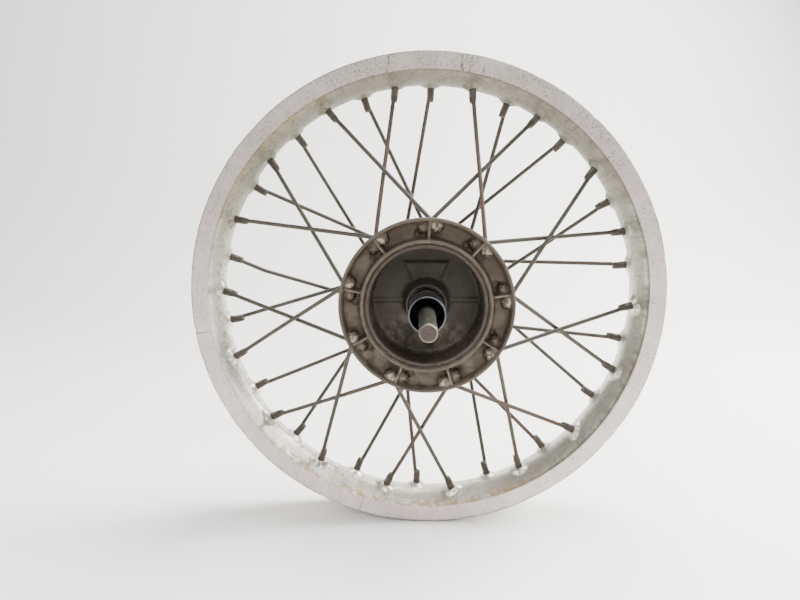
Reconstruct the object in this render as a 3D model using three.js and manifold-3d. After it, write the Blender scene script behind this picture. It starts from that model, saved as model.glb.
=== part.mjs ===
// A spoked rear wheel of a motorcycle: drop-centre rim, 36 wire spokes, cast hub with a drum brake,
// two ball bearings and the axle with its sleeve, collar, washer and nut.
//
// Millimetres. The axle lies along Y, with the brake drum on the -Y side and the sprocket seat on the
// +Y side. +Z is up. Angles round the axle are in degrees from +Z towards +X.
// Every piece is made with y = 0 in the rim's middle plane. The finished wheel is then moved along Y,
// so that the part's origin is the middle of the axle and the centre of the whole wheel's box.
// Outlines of turned pieces are lists of [radius, y], with the solid on the left of the path.

import * as THREE from "three";
import { mergeVertices } from "three/addons/utils/BufferGeometryUtils.js";
import Module from "manifold-3d";

const wasm = await Module();
wasm.setup();

// ---------- Driving dimensions ----------

const GAP = 0.3; // left between neighbouring pieces
const RACE_GAP = 0.2; // between a bearing race and what it is pressed on or into
const HOLE_GAP = 0.36; // round a spoke or nipple in its hole

const RIM_RADIUS = 242.5;
const RIM_HALF_WIDTH = 28;
const RIM_BAND_RADIUS = 225.5; // inner edge of the flat side band
const RIM_BED_RADIUS = 214.4; // hub side of the spoke bed
const RIM_WELL_RADIUS = 217.6; // tyre side of the spoke bed
const RIM_BEAD_SEAT_RADIUS = 228.5;
const RIM_LIP_THICKNESS = 4.5;

const SPOKE_COUNT = 36;
const SPOKE_PITCH = 360 / SPOKE_COUNT;
const FIRST_NIPPLE_ANGLE = 2;
const SPOKE_RADIUS = 2.1; // to the corners of the six-sided wire
const SPOKE_SIDES = 6;
const NIPPLE_RADIUS = 3.8; // to the corners
const NIPPLE_HEAD_RADIUS = 5.1;
const NIPPLE_VISIBLE_LENGTH = 15.2;
const NIPPLE_HEAD_HEIGHT = 3.4;
const NIPPLE_COLLAR_HEIGHT = 3; // the part of the nipple where it narrows to the wire
const NIPPLE_SEAT_BEYOND = 1.2; // from the reference point on the rim to the underside of the head
const RAISED_SEAT_HEIGHT = 2.2; // the bed rises towards the hub round each nipple
const RAISED_SEAT_TOP_RADIUS = 6.4;
const RAISED_SEAT_BASE_RADIUS = 8.2;
const RAISED_SEAT_SIDES = 8;
const SPOKE_HEAD_RADIUS = 3.9;
const SPOKE_HEAD_HEIGHT = 2.2;

const FLANGE_RADIUS = 84.2; // drum side
const FLANGE_FRONT_Y = -75;
const FLANGE_REAR_Y = -64.5;
const FLANGE_RING_THICKNESS = 3;
const LIP_FRONT_Y = -74.7;
const LIP_OUTER_RADIUS = 63.4;
const LIP_INNER_RADIUS = 60.2;
const CHANNEL_FLOOR_Y = -62;
const WEB_REAR_Y = -56;
const SPOKE_BOSS_RADIUS = 5.6;
const RIB_COUNT = 9;
const RIB_THICKNESS = 2.6;

const DRUM_RADIUS = 55; // friction surface
const LINER_THICKNESS = 4;
const LINER_FRONT_Y = -71.5;
const LINER_REAR_Y = -36;
const DRUM_FLOOR_Y = -28;
const DRUM_OUTER_RADIUS = 66;
const DRUM_BOSS_RADIUS = 19.9;
const DRUM_BOSS_FRONT_Y = -63;

const FAR_FLANGE_RADIUS = 76;
const FAR_FLANGE_HOLE_RADIUS = 69;
const FAR_FLANGE_INNER_Y = 32.3;
const FAR_FLANGE_OUTER_Y = 38.3;
const SPROCKET_SEAT_RADIUS = 46;
const SPROCKET_SEAT_Y = 47.5;
const SPROCKET_BOLT_CIRCLE = 36;
const SPROCKET_BOLT_COUNT = 6;
const SPROCKET_BOLT_RADIUS = 4;
const SPROCKET_BOLT_DEPTH = 8;
const HUB_NOSE_RADIUS = 24;
const HUB_NOSE_Y = 52.5;
const HUB_BORE_RADIUS = 14.5;

const BEARING_OUTER_RADIUS = 17.5;
const BEARING_BORE_RADIUS = 7.5;
const BEARING_WIDTH = 11;
const BEARING_PITCH_RADIUS = 12.45;
const BALL_RADIUS = 2.6;
const BALL_COUNT = 8;
const DRUM_BEARING_Y = -49.4; // middle planes
const SPROCKET_BEARING_Y = 40.2;
const CIRCLIP_THICKNESS = 1.2;
const CIRCLIP_INNER_RADIUS = 15.6;
const CIRCLIP_GROOVE_DEPTH = 1.2;

const AXLE_RADIUS = 7.5;
const AXLE_DRUM_END_Y = -195;
const AXLE_SPROCKET_END_Y = 83.5;
const SLEEVE_RADIUS = 16.6;
const SLEEVE_BORE_RADIUS = 15;
const SLEEVE_MOUTH_Y = -119;
const SPACER_TUBE_RADIUS = 10;
const COLLAR_RADIUS = 12.2;
const COLLAR_END_Y = 61.5;
const WASHER_RADIUS = 15;
const WASHER_THICKNESS = 2.5;
const NUT_ACROSS_FLATS = 24;
const NUT_HEIGHT = 12;

// ---------- Materials ----------

const finish = (color, roughness, metalness) =>
  new THREE.MeshStandardMaterial({ color, roughness, metalness });
const wornAluminium = () => finish(0x9a938f, 0.5, 0.8);
const dirtyCastAluminium = () => finish(0x6b6258, 0.7, 0.5);
const castIron = () => finish(0x4a352c, 0.75, 0.5);
const dullSteel = () => finish(0x6f6b64, 0.5, 0.8);
const brightSteel = () => finish(0xb8b8b4, 0.25, 1);
const rustySteel = () => finish(0x77685a, 0.6, 0.7);
const blackEnamel = () => finish(0x101012, 0.15, 0.1);
const blackRubber = () => finish(0x1c1b1a, 0.85, 0);
const brassCage = () => finish(0xa58a4a, 0.4, 0.9);

// ---------- Geometry helpers ----------

const radians = THREE.MathUtils.degToRad;

// The point at a radius and angle round the axle, at y along it.
function around(radius, angle, y) {
  return new THREE.Vector3(
    radius * Math.sin(radians(angle)),
    y,
    radius * Math.cos(radians(angle)),
  );
}

const latheOf = (outline, segments) =>
  new THREE.LatheGeometry(
    outline.map(([radius, y]) => new THREE.Vector2(radius, y)),
    segments,
  );

// A ring whose outline closes on itself.
const ring = (outline, segments) => latheOf([...outline, outline[0]], segments);

// A solid round piece whose outline starts and ends on the axle line.
const rod = (outline, segments) => latheOf(outline, segments);

// A plain cylinder or tube between two values of y.
const disc = (radius, lowY, highY, segments) =>
  rod([[0, lowY], [radius, lowY], [radius, highY], [0, highY]], segments);
const tube = (inner, outer, lowY, highY, segments) =>
  ring([[inner, lowY], [outer, lowY], [outer, highY], [inner, highY]], segments);

function solidOf(geometry) {
  const bare = new THREE.BufferGeometry();
  bare.setAttribute("position", geometry.getAttribute("position"));
  bare.setIndex(geometry.getIndex());
  const merged = mergeVertices(bare, 1e-4);
  return new wasm.Manifold(
    new wasm.Mesh({
      numProp: 3,
      vertProperties: merged.getAttribute("position").array,
      triVerts: new Uint32Array(merged.getIndex().array),
    }),
  );
}

function geometryOf(solid) {
  const mesh = solid.getMesh();
  const geometry = new THREE.BufferGeometry();
  geometry.setAttribute("position", new THREE.BufferAttribute(mesh.vertProperties, 3));
  geometry.setIndex(new THREE.BufferAttribute(mesh.triVerts, 1));
  geometry.computeVertexNormals();
  return geometry;
}

const joined = (solids) => solids.reduce((whole, solid) => whole.add(solid));

// A geometry built along +Y, moved so that its origin is at start and +Y points towards end.
function pointed(geometry, start, end) {
  const direction = end.clone().sub(start).normalize();
  const turn = new THREE.Quaternion().setFromUnitVectors(new THREE.Vector3(0, 1, 0), direction);
  return geometry.clone().applyQuaternion(turn).translate(start.x, start.y, start.z);
}

const turnedRoundAxle = (geometry, angle) => geometry.clone().rotateY(radians(angle));

function part(name, geometry, material) {
  const mesh = new THREE.Mesh(geometry, material);
  mesh.name = name;
  return mesh;
}

// ---------- Spokes ----------

// The four ways a spoke is laced, in the order in which they follow each other round the rim.
// lead is the angle from the nipple round to the reference point on the hub.
const DRUM_REFERENCE_RADIUS = 80;
const RIM_REFERENCE_RADIUS = 217;
const LACINGS = [
  { side: "sprocket", lead: -21, hubY: 42.8, rimY: 3.5, headY: FAR_FLANGE_INNER_Y },
  { side: "drum", lead: 32.2, hubY: -64.5, rimY: -5.1, headBeyond: 10 },
  { side: "sprocket", lead: 19, hubY: 28.8, rimY: 3.5, headY: FAR_FLANGE_OUTER_Y },
  { side: "drum", lead: -29.8, hubY: -58.7, rimY: -1.9, headBeyond: 12.5 },
];

// One spoke has been knocked out of line: it has a kink a little way in from its nipple.
const BENT_SPOKE = 28;
const KINK = { fromRim: 43, sideways: 5 };

// A spoke's line, from its head or bent end (start) to the reference point on the rim (rim).
function spokeLine(lacing) {
  const hubRadius = lacing.side === "drum" ? DRUM_REFERENCE_RADIUS : FAR_FLANGE_HOLE_RADIUS;
  const hub = around(hubRadius, lacing.lead, lacing.hubY);
  const rim = around(RIM_REFERENCE_RADIUS, 0, lacing.rimY);
  const direction = rim.clone().sub(hub).normalize();
  const start = hub.addScaledVector(direction, -(lacing.headBeyond ?? 0));
  return { start, rim, direction, length: start.distanceTo(rim) };
}

// The stretch of the bent spoke from its kink to the rim.
function kinkedLine(lacing) {
  const line = spokeLine(lacing);
  const sideways = new THREE.Vector3(-line.direction.z, 0, line.direction.x).normalize();
  const kink = line.rim
    .clone()
    .addScaledVector(line.direction, -KINK.fromRim)
    .addScaledVector(sideways, KINK.sideways);
  return { ...line, kink, length: kink.distanceTo(line.rim) };
}

// The rim end of a spoke's outline: shank, nipple and nipple head, with the reference point at length.
function nippleOutline(length) {
  const seat = length + NIPPLE_SEAT_BEYOND;
  const foot = length - NIPPLE_VISIBLE_LENGTH - NIPPLE_COLLAR_HEIGHT;
  return [
    [SPOKE_RADIUS, foot],
    [NIPPLE_RADIUS, foot + 1],
    [NIPPLE_RADIUS, seat],
    [NIPPLE_HEAD_RADIUS, seat + 0.8],
    [NIPPLE_HEAD_RADIUS * 0.85, seat + NIPPLE_HEAD_HEIGHT * 0.8],
    [0, seat + NIPPLE_HEAD_HEIGHT],
  ];
}

// A straight spoke whose round head sits in its own boss on the drum flange.
function drumSpoke(lacing) {
  const line = spokeLine(lacing);
  const outline = [
    [0, -SPOKE_HEAD_HEIGHT],
    [SPOKE_HEAD_RADIUS, -SPOKE_HEAD_HEIGHT / 2],
    [SPOKE_HEAD_RADIUS, 0.3],
    [SPOKE_RADIUS, 1.4],
    ...nippleOutline(line.length),
  ];
  return pointed(rod(outline, SPOKE_SIDES), line.start, line.rim);
}

// A spoke with a bent end: its head lies on one face of the far flange and its shank on the other.
function sprocketSpoke(lacing, shank) {
  const outward = Math.sign(lacing.headY - lacing.hubY);
  const face = lacing.headY + outward * GAP;
  const elbowY = lacing.hubY - outward * SPOKE_RADIUS;
  const pinOutline = [
    [0, elbowY],
    [SPOKE_RADIUS, elbowY],
    [SPOKE_RADIUS, face],
    [SPOKE_HEAD_RADIUS, face],
    [SPOKE_HEAD_RADIUS, face + outward * SPOKE_HEAD_HEIGHT],
    [0, face + outward * SPOKE_HEAD_HEIGHT],
  ];
  const pin = rod(outward > 0 ? pinOutline : pinOutline.reverse(), SPOKE_SIDES);
  const hole = around(FAR_FLANGE_HOLE_RADIUS, lacing.lead, 0);
  return geometryOf(shank.add(solidOf(pin.translate(hole.x, 0, hole.z))));
}

function straightShank(lacing) {
  const line = spokeLine(lacing);
  const shank = rod([[0, 0], [SPOKE_RADIUS, 0], ...nippleOutline(line.length)], SPOKE_SIDES);
  return solidOf(pointed(shank, line.start, line.rim));
}

function kinkedShank(lacing) {
  const line = kinkedLine(lacing);
  const inner = disc(SPOKE_RADIUS, 0, line.start.distanceTo(line.kink), SPOKE_SIDES);
  const outer = rod([[0, 0], [SPOKE_RADIUS, 0], ...nippleOutline(line.length)], SPOKE_SIDES);
  const corner = new THREE.SphereGeometry(SPOKE_RADIUS * 1.1, SPOKE_SIDES, 4);
  return joined([
    solidOf(pointed(inner, line.start, line.kink)),
    solidOf(pointed(outer, line.kink, line.rim)),
    solidOf(corner.translate(line.kink.x, line.kink.y, line.kink.z)),
  ]);
}

// What a spoke cuts from the rim: the nipple's hole and the seat of its head.
function rimCutter(lacing, isBent) {
  const line = isBent ? kinkedLine(lacing) : spokeLine(lacing);
  const seat = line.length + NIPPLE_SEAT_BEYOND - GAP;
  const hole = NIPPLE_RADIUS + HOLE_GAP;
  const headHole = NIPPLE_HEAD_RADIUS + HOLE_GAP;
  const insideRim = line.length - NIPPLE_VISIBLE_LENGTH * 0.7;
  const outsideRim = seat + 4 * NIPPLE_HEAD_HEIGHT;
  const outline = [
    [0, insideRim],
    [hole, insideRim],
    [hole, seat],
    [headHole, seat + 0.6],
    [headHole, outsideRim],
    [0, outsideRim],
  ];
  return pointed(rod(outline, SPOKE_SIDES), isBent ? line.kink : line.start, line.rim);
}

// The raised seat on the hub side of the rim's bed, which the nipple's hole goes through.
function rimSeat(lacing, isBent) {
  const line = isBent ? kinkedLine(lacing) : spokeLine(lacing);
  const bed = line.length - (RIM_REFERENCE_RADIUS - RIM_BED_RADIUS);
  const base = line.length + 1;
  const outline = [
    [0, bed - RAISED_SEAT_HEIGHT],
    [RAISED_SEAT_TOP_RADIUS, bed - RAISED_SEAT_HEIGHT],
    [RAISED_SEAT_BASE_RADIUS, base],
    [0, base],
  ];
  return pointed(rod(outline, RAISED_SEAT_SIDES), isBent ? line.kink : line.start, line.rim);
}

// What a spoke cuts from the hub: on the drum side a slanting hole with a pocket for the head.
const POCKET_DEPTH = 5;
const SLANTING_HOLE_LENGTH = 24;
function hubCutter(lacing) {
  const line = spokeLine(lacing);
  const hole = SPOKE_RADIUS + HOLE_GAP;
  if (lacing.side === "sprocket") {
    const centre = around(FAR_FLANGE_HOLE_RADIUS, lacing.lead, 0);
    const lowY = FAR_FLANGE_INNER_Y - 1;
    const highY = FAR_FLANGE_OUTER_Y + 1;
    return disc(hole, lowY, highY, 8).translate(centre.x, 0, centre.z);
  }
  const pocket = SPOKE_HEAD_RADIUS + 1.5 * GAP;
  const outline = [
    [0, -POCKET_DEPTH],
    [pocket, -POCKET_DEPTH],
    [pocket, 0.6 + GAP],
    [hole, 1.8 + GAP],
    [hole, SLANTING_HOLE_LENGTH],
    [0, SLANTING_HOLE_LENGTH],
  ];
  return pointed(rod(outline, SPOKE_SIDES), line.start, line.rim);
}

const nippleAngle = (index) => FIRST_NIPPLE_ANGLE + index * SPOKE_PITCH;
const lacingOf = (index) => LACINGS[index % LACINGS.length];
const spokeIndexes = [...Array(SPOKE_COUNT).keys()];

function spokeParts() {
  const group = new THREE.Group();
  const shapes = LACINGS.map((lacing) =>
    lacing.side === "drum" ? drumSpoke(lacing) : sprocketSpoke(lacing, straightShank(lacing)),
  );
  const bentLacing = lacingOf(BENT_SPOKE);
  const bentShape = sprocketSpoke(bentLacing, kinkedShank(bentLacing));
  for (const index of spokeIndexes) {
    const name = "spoke_with_nipple_" + String(index + 1).padStart(2, "0");
    const shape = index === BENT_SPOKE ? bentShape : shapes[index % LACINGS.length];
    const spoke = part(name, shape, dullSteel());
    spoke.rotation.y = radians(nippleAngle(index));
    group.add(spoke);
  }
  return group;
}

// ---------- Rim ----------

const RIM_SEGMENTS = 48;

function rimOutline() {
  const edge = RIM_HALF_WIDTH;
  const lip = RIM_HALF_WIDTH - RIM_LIP_THICKNESS;
  // The half on the -Y side, from the middle of the spoke bed out to the middle of the well.
  const hubSide = [
    [RIM_BED_RADIUS, -5.5],
    [RIM_BED_RADIUS + 2.4, -10.5],
    [RIM_BAND_RADIUS - 1, -edge + 2],
    [RIM_BAND_RADIUS, -edge],
    [RIM_RADIUS - 2, -edge],
    [RIM_RADIUS, -edge + 1.6],
  ];
  const tyreSide = [
    [RIM_RADIUS, -lip - 1.2],
    [RIM_RADIUS - 1.8, -lip],
    [RIM_BEAD_SEAT_RADIUS + 2, -lip + 0.2],
    [RIM_BEAD_SEAT_RADIUS, -lip + 1.8],
    [RIM_BEAD_SEAT_RADIUS - 0.7, -16.5],
    [RIM_WELL_RADIUS, -8.5],
  ];
  const half = [...hubSide, ...tyreSide];
  const mirrored = half.map(([radius, y]) => [radius, -y]).reverse();
  return [...half, ...mirrored];
}

function rim() {
  const hoop = solidOf(ring(rimOutline(), RIM_SEGMENTS));
  const atEachNipple = (shape) =>
    joined(
      spokeIndexes.map((index) =>
        solidOf(turnedRoundAxle(shape(lacingOf(index), index === BENT_SPOKE), nippleAngle(index))),
      ),
    );
  // The seats stop at the tyre side of the bed, which stays smooth.
  const well = solidOf(tube(RIM_WELL_RADIUS - 1, RIM_BEAD_SEAT_RADIUS, -16, 16, RIM_SEGMENTS));
  const seats = atEachNipple(rimSeat).subtract(well);
  return part("rim", geometryOf(hoop.add(seats).subtract(atEachNipple(rimCutter))), wornAluminium());
}

// ---------- Hub ----------

const HUB_SEGMENTS = 30;

function hubOutline() {
  const bearingBore = BEARING_OUTER_RADIUS + RACE_GAP;
  const linerSeat = DRUM_RADIUS + LINER_THICKNESS + GAP;
  const linerShoulder = LINER_REAR_Y + GAP;
  const drumBearingShoulder = DRUM_BEARING_Y + BEARING_WIDTH / 2 + RACE_GAP;
  const sprocketBearingShoulder = SPROCKET_BEARING_Y - BEARING_WIDTH / 2 - RACE_GAP;
  const grooveRear = drumBearingShoulder - BEARING_WIDTH - 2 * RACE_GAP;
  const grooveFront = grooveRear - CIRCLIP_THICKNESS - 2 * GAP;
  const grooveRadius = bearingBore + CIRCLIP_GROOVE_DEPTH;
  const outside = [
    [LIP_INNER_RADIUS, LIP_FRONT_Y],
    [LIP_OUTER_RADIUS, LIP_FRONT_Y],
    [LIP_OUTER_RADIUS + 1, CHANNEL_FLOOR_Y],
    [FLANGE_RADIUS - FLANGE_RING_THICKNESS - 0.5, CHANNEL_FLOOR_Y - 1.5],
    [FLANGE_RADIUS - FLANGE_RING_THICKNESS, FLANGE_FRONT_Y],
    [FLANGE_RADIUS, FLANGE_FRONT_Y],
    [FLANGE_RADIUS, FLANGE_REAR_Y],
    [FLANGE_RADIUS - 6, WEB_REAR_Y],
    [DRUM_OUTER_RADIUS + 1, WEB_REAR_Y + 1.5],
    [DRUM_OUTER_RADIUS, -30],
    [DRUM_OUTER_RADIUS - 4, -21.5],
    [46, -17.5],
    [33, -6],
    [30, 8],
    [31, 20],
    [44, FAR_FLANGE_INNER_Y - 2.7],
    [FAR_FLANGE_RADIUS - 14, FAR_FLANGE_INNER_Y],
    [FAR_FLANGE_RADIUS, FAR_FLANGE_INNER_Y],
    [FAR_FLANGE_RADIUS, FAR_FLANGE_OUTER_Y],
    [SPROCKET_SEAT_RADIUS + 5, FAR_FLANGE_OUTER_Y],
    [SPROCKET_SEAT_RADIUS, FAR_FLANGE_OUTER_Y + 4],
    [SPROCKET_SEAT_RADIUS, SPROCKET_SEAT_Y],
    [HUB_NOSE_RADIUS, SPROCKET_SEAT_Y],
    [HUB_NOSE_RADIUS - 1, HUB_NOSE_Y],
  ];
  const inside = [
    [bearingBore, HUB_NOSE_Y],
    [bearingBore, sprocketBearingShoulder],
    [HUB_BORE_RADIUS, sprocketBearingShoulder],
    [HUB_BORE_RADIUS, drumBearingShoulder],
    [bearingBore, drumBearingShoulder],
    [bearingBore, grooveRear],
    [grooveRadius, grooveRear],
    [grooveRadius, grooveFront],
    [bearingBore, grooveFront],
    [bearingBore, DRUM_BOSS_FRONT_Y],
    [DRUM_BOSS_RADIUS, DRUM_BOSS_FRONT_Y],
    [DRUM_BOSS_RADIUS + 1, DRUM_FLOOR_Y],
    [DRUM_RADIUS - 1.5, DRUM_FLOOR_Y],
    [DRUM_RADIUS, DRUM_FLOOR_Y - 2],
    [DRUM_RADIUS, linerShoulder],
    [linerSeat, linerShoulder],
    [linerSeat, LINER_FRONT_Y - GAP],
    [LIP_INNER_RADIUS, LINER_FRONT_Y - GAP],
  ];
  return [...outside, ...inside];
}

// The slanting bosses that carry the drum-side spoke heads in the flange's channel.
function spokeBosses() {
  const bosses = spokeIndexes
    .filter((index) => lacingOf(index).side === "drum")
    .map((index) => {
      const line = spokeLine(lacingOf(index));
      const boss = pointed(disc(SPOKE_BOSS_RADIUS, -2, 9, SPOKE_SIDES), line.start, line.rim);
      return solidOf(turnedRoundAxle(boss, nippleAngle(index)));
    });
  return joined(bosses);
}

// Thin radial ribs across the channel, one where each pair of drum-side spokes crosses.
function channelRibs() {
  const innerRadius = LIP_OUTER_RADIUS - 1;
  const outerRadius = FLANGE_RADIUS - FLANGE_RING_THICKNESS + 1;
  const frontY = LIP_FRONT_Y + 1.4;
  const ribs = [...Array(RIB_COUNT).keys()].map((index) => {
    const rib = new THREE.BoxGeometry(
      RIB_THICKNESS,
      CHANNEL_FLOOR_Y + 1 - frontY,
      outerRadius - innerRadius,
    );
    rib.translate(0, (CHANNEL_FLOOR_Y + 1 + frontY) / 2, (outerRadius + innerRadius) / 2);
    return solidOf(rib.rotateY(radians(FIRST_NIPPLE_ANGLE + (index * 360) / RIB_COUNT)));
  });
  return joined(ribs);
}

// Raised castings on the drum's floor: a tapering pad at the top and a rib at each side.
const FLOOR_PAD_HEIGHT = 3.2;
const FLOOR_RIB_LENGTH = 34;
const FLOOR_RIB_WIDTH = 5;
const FLOOR_RIB_CENTRE = 36;
function floorCastings() {
  const pad = new THREE.Shape();
  pad.moveTo(-15, 18);
  pad.lineTo(15, 18);
  pad.lineTo(25, 40);
  pad.lineTo(-25, 40);
  pad.closePath();
  const thickness = FLOOR_PAD_HEIGHT + 1;
  const padSolid = new THREE.ExtrudeGeometry(pad, { depth: thickness, bevelEnabled: false })
    .rotateX(Math.PI / 2)
    .translate(0, DRUM_FLOOR_Y + 1, 0);
  const ribs = [-1, 1].map((side) =>
    new THREE.BoxGeometry(FLOOR_RIB_LENGTH, thickness, FLOOR_RIB_WIDTH).translate(
      side * FLOOR_RIB_CENTRE,
      DRUM_FLOOR_Y + 1 - thickness / 2,
      0,
    ),
  );
  return joined([padSolid, ...ribs].map(solidOf));
}

function sprocketBoltHoles() {
  const holes = [...Array(SPROCKET_BOLT_COUNT).keys()].map((index) => {
    const centre = around(SPROCKET_BOLT_CIRCLE, (index * 360) / SPROCKET_BOLT_COUNT, 0);
    const hole = disc(
      SPROCKET_BOLT_RADIUS,
      SPROCKET_SEAT_Y - SPROCKET_BOLT_DEPTH,
      SPROCKET_SEAT_Y + 1,
      10,
    );
    return solidOf(hole.translate(centre.x, 0, centre.z));
  });
  return joined(holes);
}

function hubShell() {
  const casting = solidOf(ring(hubOutline(), HUB_SEGMENTS));
  const spokeHoles = spokeIndexes.map((index) =>
    solidOf(turnedRoundAxle(hubCutter(lacingOf(index)), nippleAngle(index))),
  );
  const solid = joined([casting, spokeBosses(), channelRibs(), floorCastings()])
    .subtract(joined(spokeHoles))
    .subtract(sprocketBoltHoles());
  return part("hub_shell", geometryOf(solid), dirtyCastAluminium());
}

function brakeDrumLiner() {
  const outer = DRUM_RADIUS + LINER_THICKNESS;
  const outline = [
    [DRUM_RADIUS + 1.2, LINER_FRONT_Y],
    [outer, LINER_FRONT_Y],
    [outer, LINER_REAR_Y],
    [DRUM_RADIUS, LINER_REAR_Y],
    [DRUM_RADIUS, LINER_FRONT_Y + 1.2],
  ];
  return part("brake_drum_liner", ring(outline, HUB_SEGMENTS), castIron());
}

// ---------- Bearings ----------

const RACE_SEGMENTS = 24;
const INNER_RACE_OUTER = 10.3;
const OUTER_RACE_INNER = 14.6;
const GROOVE_DEPTH = 0.8;
const CAGE_SECTION = 1.8;
const CAGE_SIDES = 16;

function outerRace(name) {
  const half = BEARING_WIDTH / 2;
  const outline = [
    [OUTER_RACE_INNER, -half],
    [BEARING_OUTER_RADIUS, -half],
    [BEARING_OUTER_RADIUS, half],
    [OUTER_RACE_INNER, half],
    [OUTER_RACE_INNER, BALL_RADIUS],
    [OUTER_RACE_INNER + GROOVE_DEPTH, BALL_RADIUS / 2],
    [OUTER_RACE_INNER + GROOVE_DEPTH, -BALL_RADIUS / 2],
    [OUTER_RACE_INNER, -BALL_RADIUS],
  ];
  return part(name, ring(outline, RACE_SEGMENTS), brightSteel());
}

function innerRace(name) {
  const half = BEARING_WIDTH / 2;
  const bore = BEARING_BORE_RADIUS + RACE_GAP;
  const outline = [
    [bore, -half],
    [INNER_RACE_OUTER, -half],
    [INNER_RACE_OUTER, -BALL_RADIUS],
    [INNER_RACE_OUTER - GROOVE_DEPTH, -BALL_RADIUS / 2],
    [INNER_RACE_OUTER - GROOVE_DEPTH, BALL_RADIUS / 2],
    [INNER_RACE_OUTER, BALL_RADIUS],
    [INNER_RACE_OUTER, half],
    [bore, half],
  ];
  return part(name, ring(outline, RACE_SEGMENTS), brightSteel());
}

// Eight balls held in one cage ring.
function ballCage(name) {
  const half = CAGE_SECTION / 2;
  const cage = tube(BEARING_PITCH_RADIUS - half, BEARING_PITCH_RADIUS + half, -half, half, CAGE_SIDES);
  const balls = [...Array(BALL_COUNT).keys()].map((index) => {
    const centre = around(BEARING_PITCH_RADIUS, (index * 360) / BALL_COUNT, 0);
    return new THREE.OctahedronGeometry(BALL_RADIUS, 1).translate(centre.x, 0, centre.z);
  });
  return part(name, geometryOf(joined([cage, ...balls].map(solidOf))), brassCage());
}

function bearing(prefix, y) {
  const group = new THREE.Group();
  group.add(outerRace(prefix + "_bearing_outer_race"));
  group.add(innerRace(prefix + "_bearing_inner_race"));
  group.add(ballCage(prefix + "_bearing_balls_and_cage"));
  group.position.y = y;
  return group;
}

// The spring ring that holds the drum-side bearing, with its gap at the bottom.
function circlip() {
  const rearY = DRUM_BEARING_Y - BEARING_WIDTH / 2 - GAP - RACE_GAP;
  const outer = BEARING_OUTER_RADIUS + CIRCLIP_GROOVE_DEPTH - 0.1;
  const hoop = solidOf(
    tube(CIRCLIP_INNER_RADIUS, outer, rearY - CIRCLIP_THICKNESS, rearY, RACE_SEGMENTS),
  );
  const opening = solidOf(new THREE.BoxGeometry(5, 6, 8).translate(0, rearY, -BEARING_OUTER_RADIUS));
  return part("drum_side_circlip", geometryOf(hoop.subtract(opening)), dullSteel());
}

function oilSeal() {
  const lowY = SPROCKET_BEARING_Y + BEARING_WIDTH / 2 + GAP;
  const highY = HUB_NOSE_Y - 0.5;
  const seal = tube(COLLAR_RADIUS + GAP, BEARING_OUTER_RADIUS, lowY, highY, RACE_SEGMENTS);
  return part("sprocket_side_oil_seal", seal, blackRubber());
}

// ---------- Axle and what is clamped on it ----------

const CLAMPED_BORE = AXLE_RADIUS + GAP;

function axle() {
  const outline = [
    [0, AXLE_DRUM_END_Y],
    [AXLE_RADIUS - 1.1, AXLE_DRUM_END_Y],
    [AXLE_RADIUS, AXLE_DRUM_END_Y + 1.4],
    [AXLE_RADIUS, AXLE_SPROCKET_END_Y - 1.2],
    [AXLE_RADIUS - 1.1, AXLE_SPROCKET_END_Y],
    [0, AXLE_SPROCKET_END_Y],
  ];
  return part("axle", rod(outline, RACE_SEGMENTS), rustySteel());
}

// A cup-shaped spacer: its nose bears on the drum-side bearing and its mouth is open.
function axleSleeve() {
  const noseY = DRUM_BEARING_Y - BEARING_WIDTH / 2 - GAP;
  const noseRadius = 11;
  const outline = [
    [SLEEVE_BORE_RADIUS, SLEEVE_MOUTH_Y],
    [SLEEVE_RADIUS - 0.5, SLEEVE_MOUTH_Y],
    [SLEEVE_RADIUS, SLEEVE_MOUTH_Y + 0.6],
    [SLEEVE_RADIUS, noseY - 7],
    [SLEEVE_RADIUS - 2, noseY - 4.5],
    [noseRadius, noseY - 4],
    [noseRadius, noseY],
    [CLAMPED_BORE, noseY],
    [CLAMPED_BORE, noseY - 8],
    [SLEEVE_BORE_RADIUS, noseY - 9],
  ];
  return part("axle_sleeve", ring(outline, RACE_SEGMENTS), blackEnamel());
}

function bearingSpacerTube() {
  const lowY = DRUM_BEARING_Y + BEARING_WIDTH / 2 + GAP;
  const highY = SPROCKET_BEARING_Y - BEARING_WIDTH / 2 - GAP;
  const wall = tube(CLAMPED_BORE, SPACER_TUBE_RADIUS, lowY, highY, RACE_SEGMENTS);
  return part("bearing_spacer_tube", wall, dullSteel());
}

function sprocketSideCollar() {
  const lowY = SPROCKET_BEARING_Y + BEARING_WIDTH / 2 + GAP;
  const outline = [
    [CLAMPED_BORE, lowY],
    [INNER_RACE_OUTER, lowY],
    [COLLAR_RADIUS, lowY + 1.5],
    [COLLAR_RADIUS, COLLAR_END_Y],
    [CLAMPED_BORE, COLLAR_END_Y],
  ];
  return part("sprocket_side_collar", ring(outline, RACE_SEGMENTS), dullSteel());
}

const WASHER_Y = COLLAR_END_Y + GAP;
const NUT_Y = WASHER_Y + WASHER_THICKNESS + GAP;

function axleWasher() {
  const washer = tube(CLAMPED_BORE, WASHER_RADIUS, WASHER_Y, WASHER_Y + WASHER_THICKNESS, RACE_SEGMENTS);
  return part("axle_washer", washer, dullSteel());
}

function axleNut() {
  const corner = NUT_ACROSS_FLATS / 2 / Math.cos(Math.PI / 6);
  const block = solidOf(disc(corner, NUT_Y, NUT_Y + NUT_HEIGHT, 6));
  const bore = solidOf(disc(CLAMPED_BORE, NUT_Y - 1, NUT_Y + NUT_HEIGHT + 1, RACE_SEGMENTS));
  return part("axle_nut", geometryOf(block.subtract(bore)), dullSteel());
}

// ---------- Assembly ----------

// From the middle of the axle to the rim's middle plane.
const WHEEL_CENTRE_Y = -(AXLE_DRUM_END_Y + AXLE_SPROCKET_END_Y) / 2;

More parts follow.
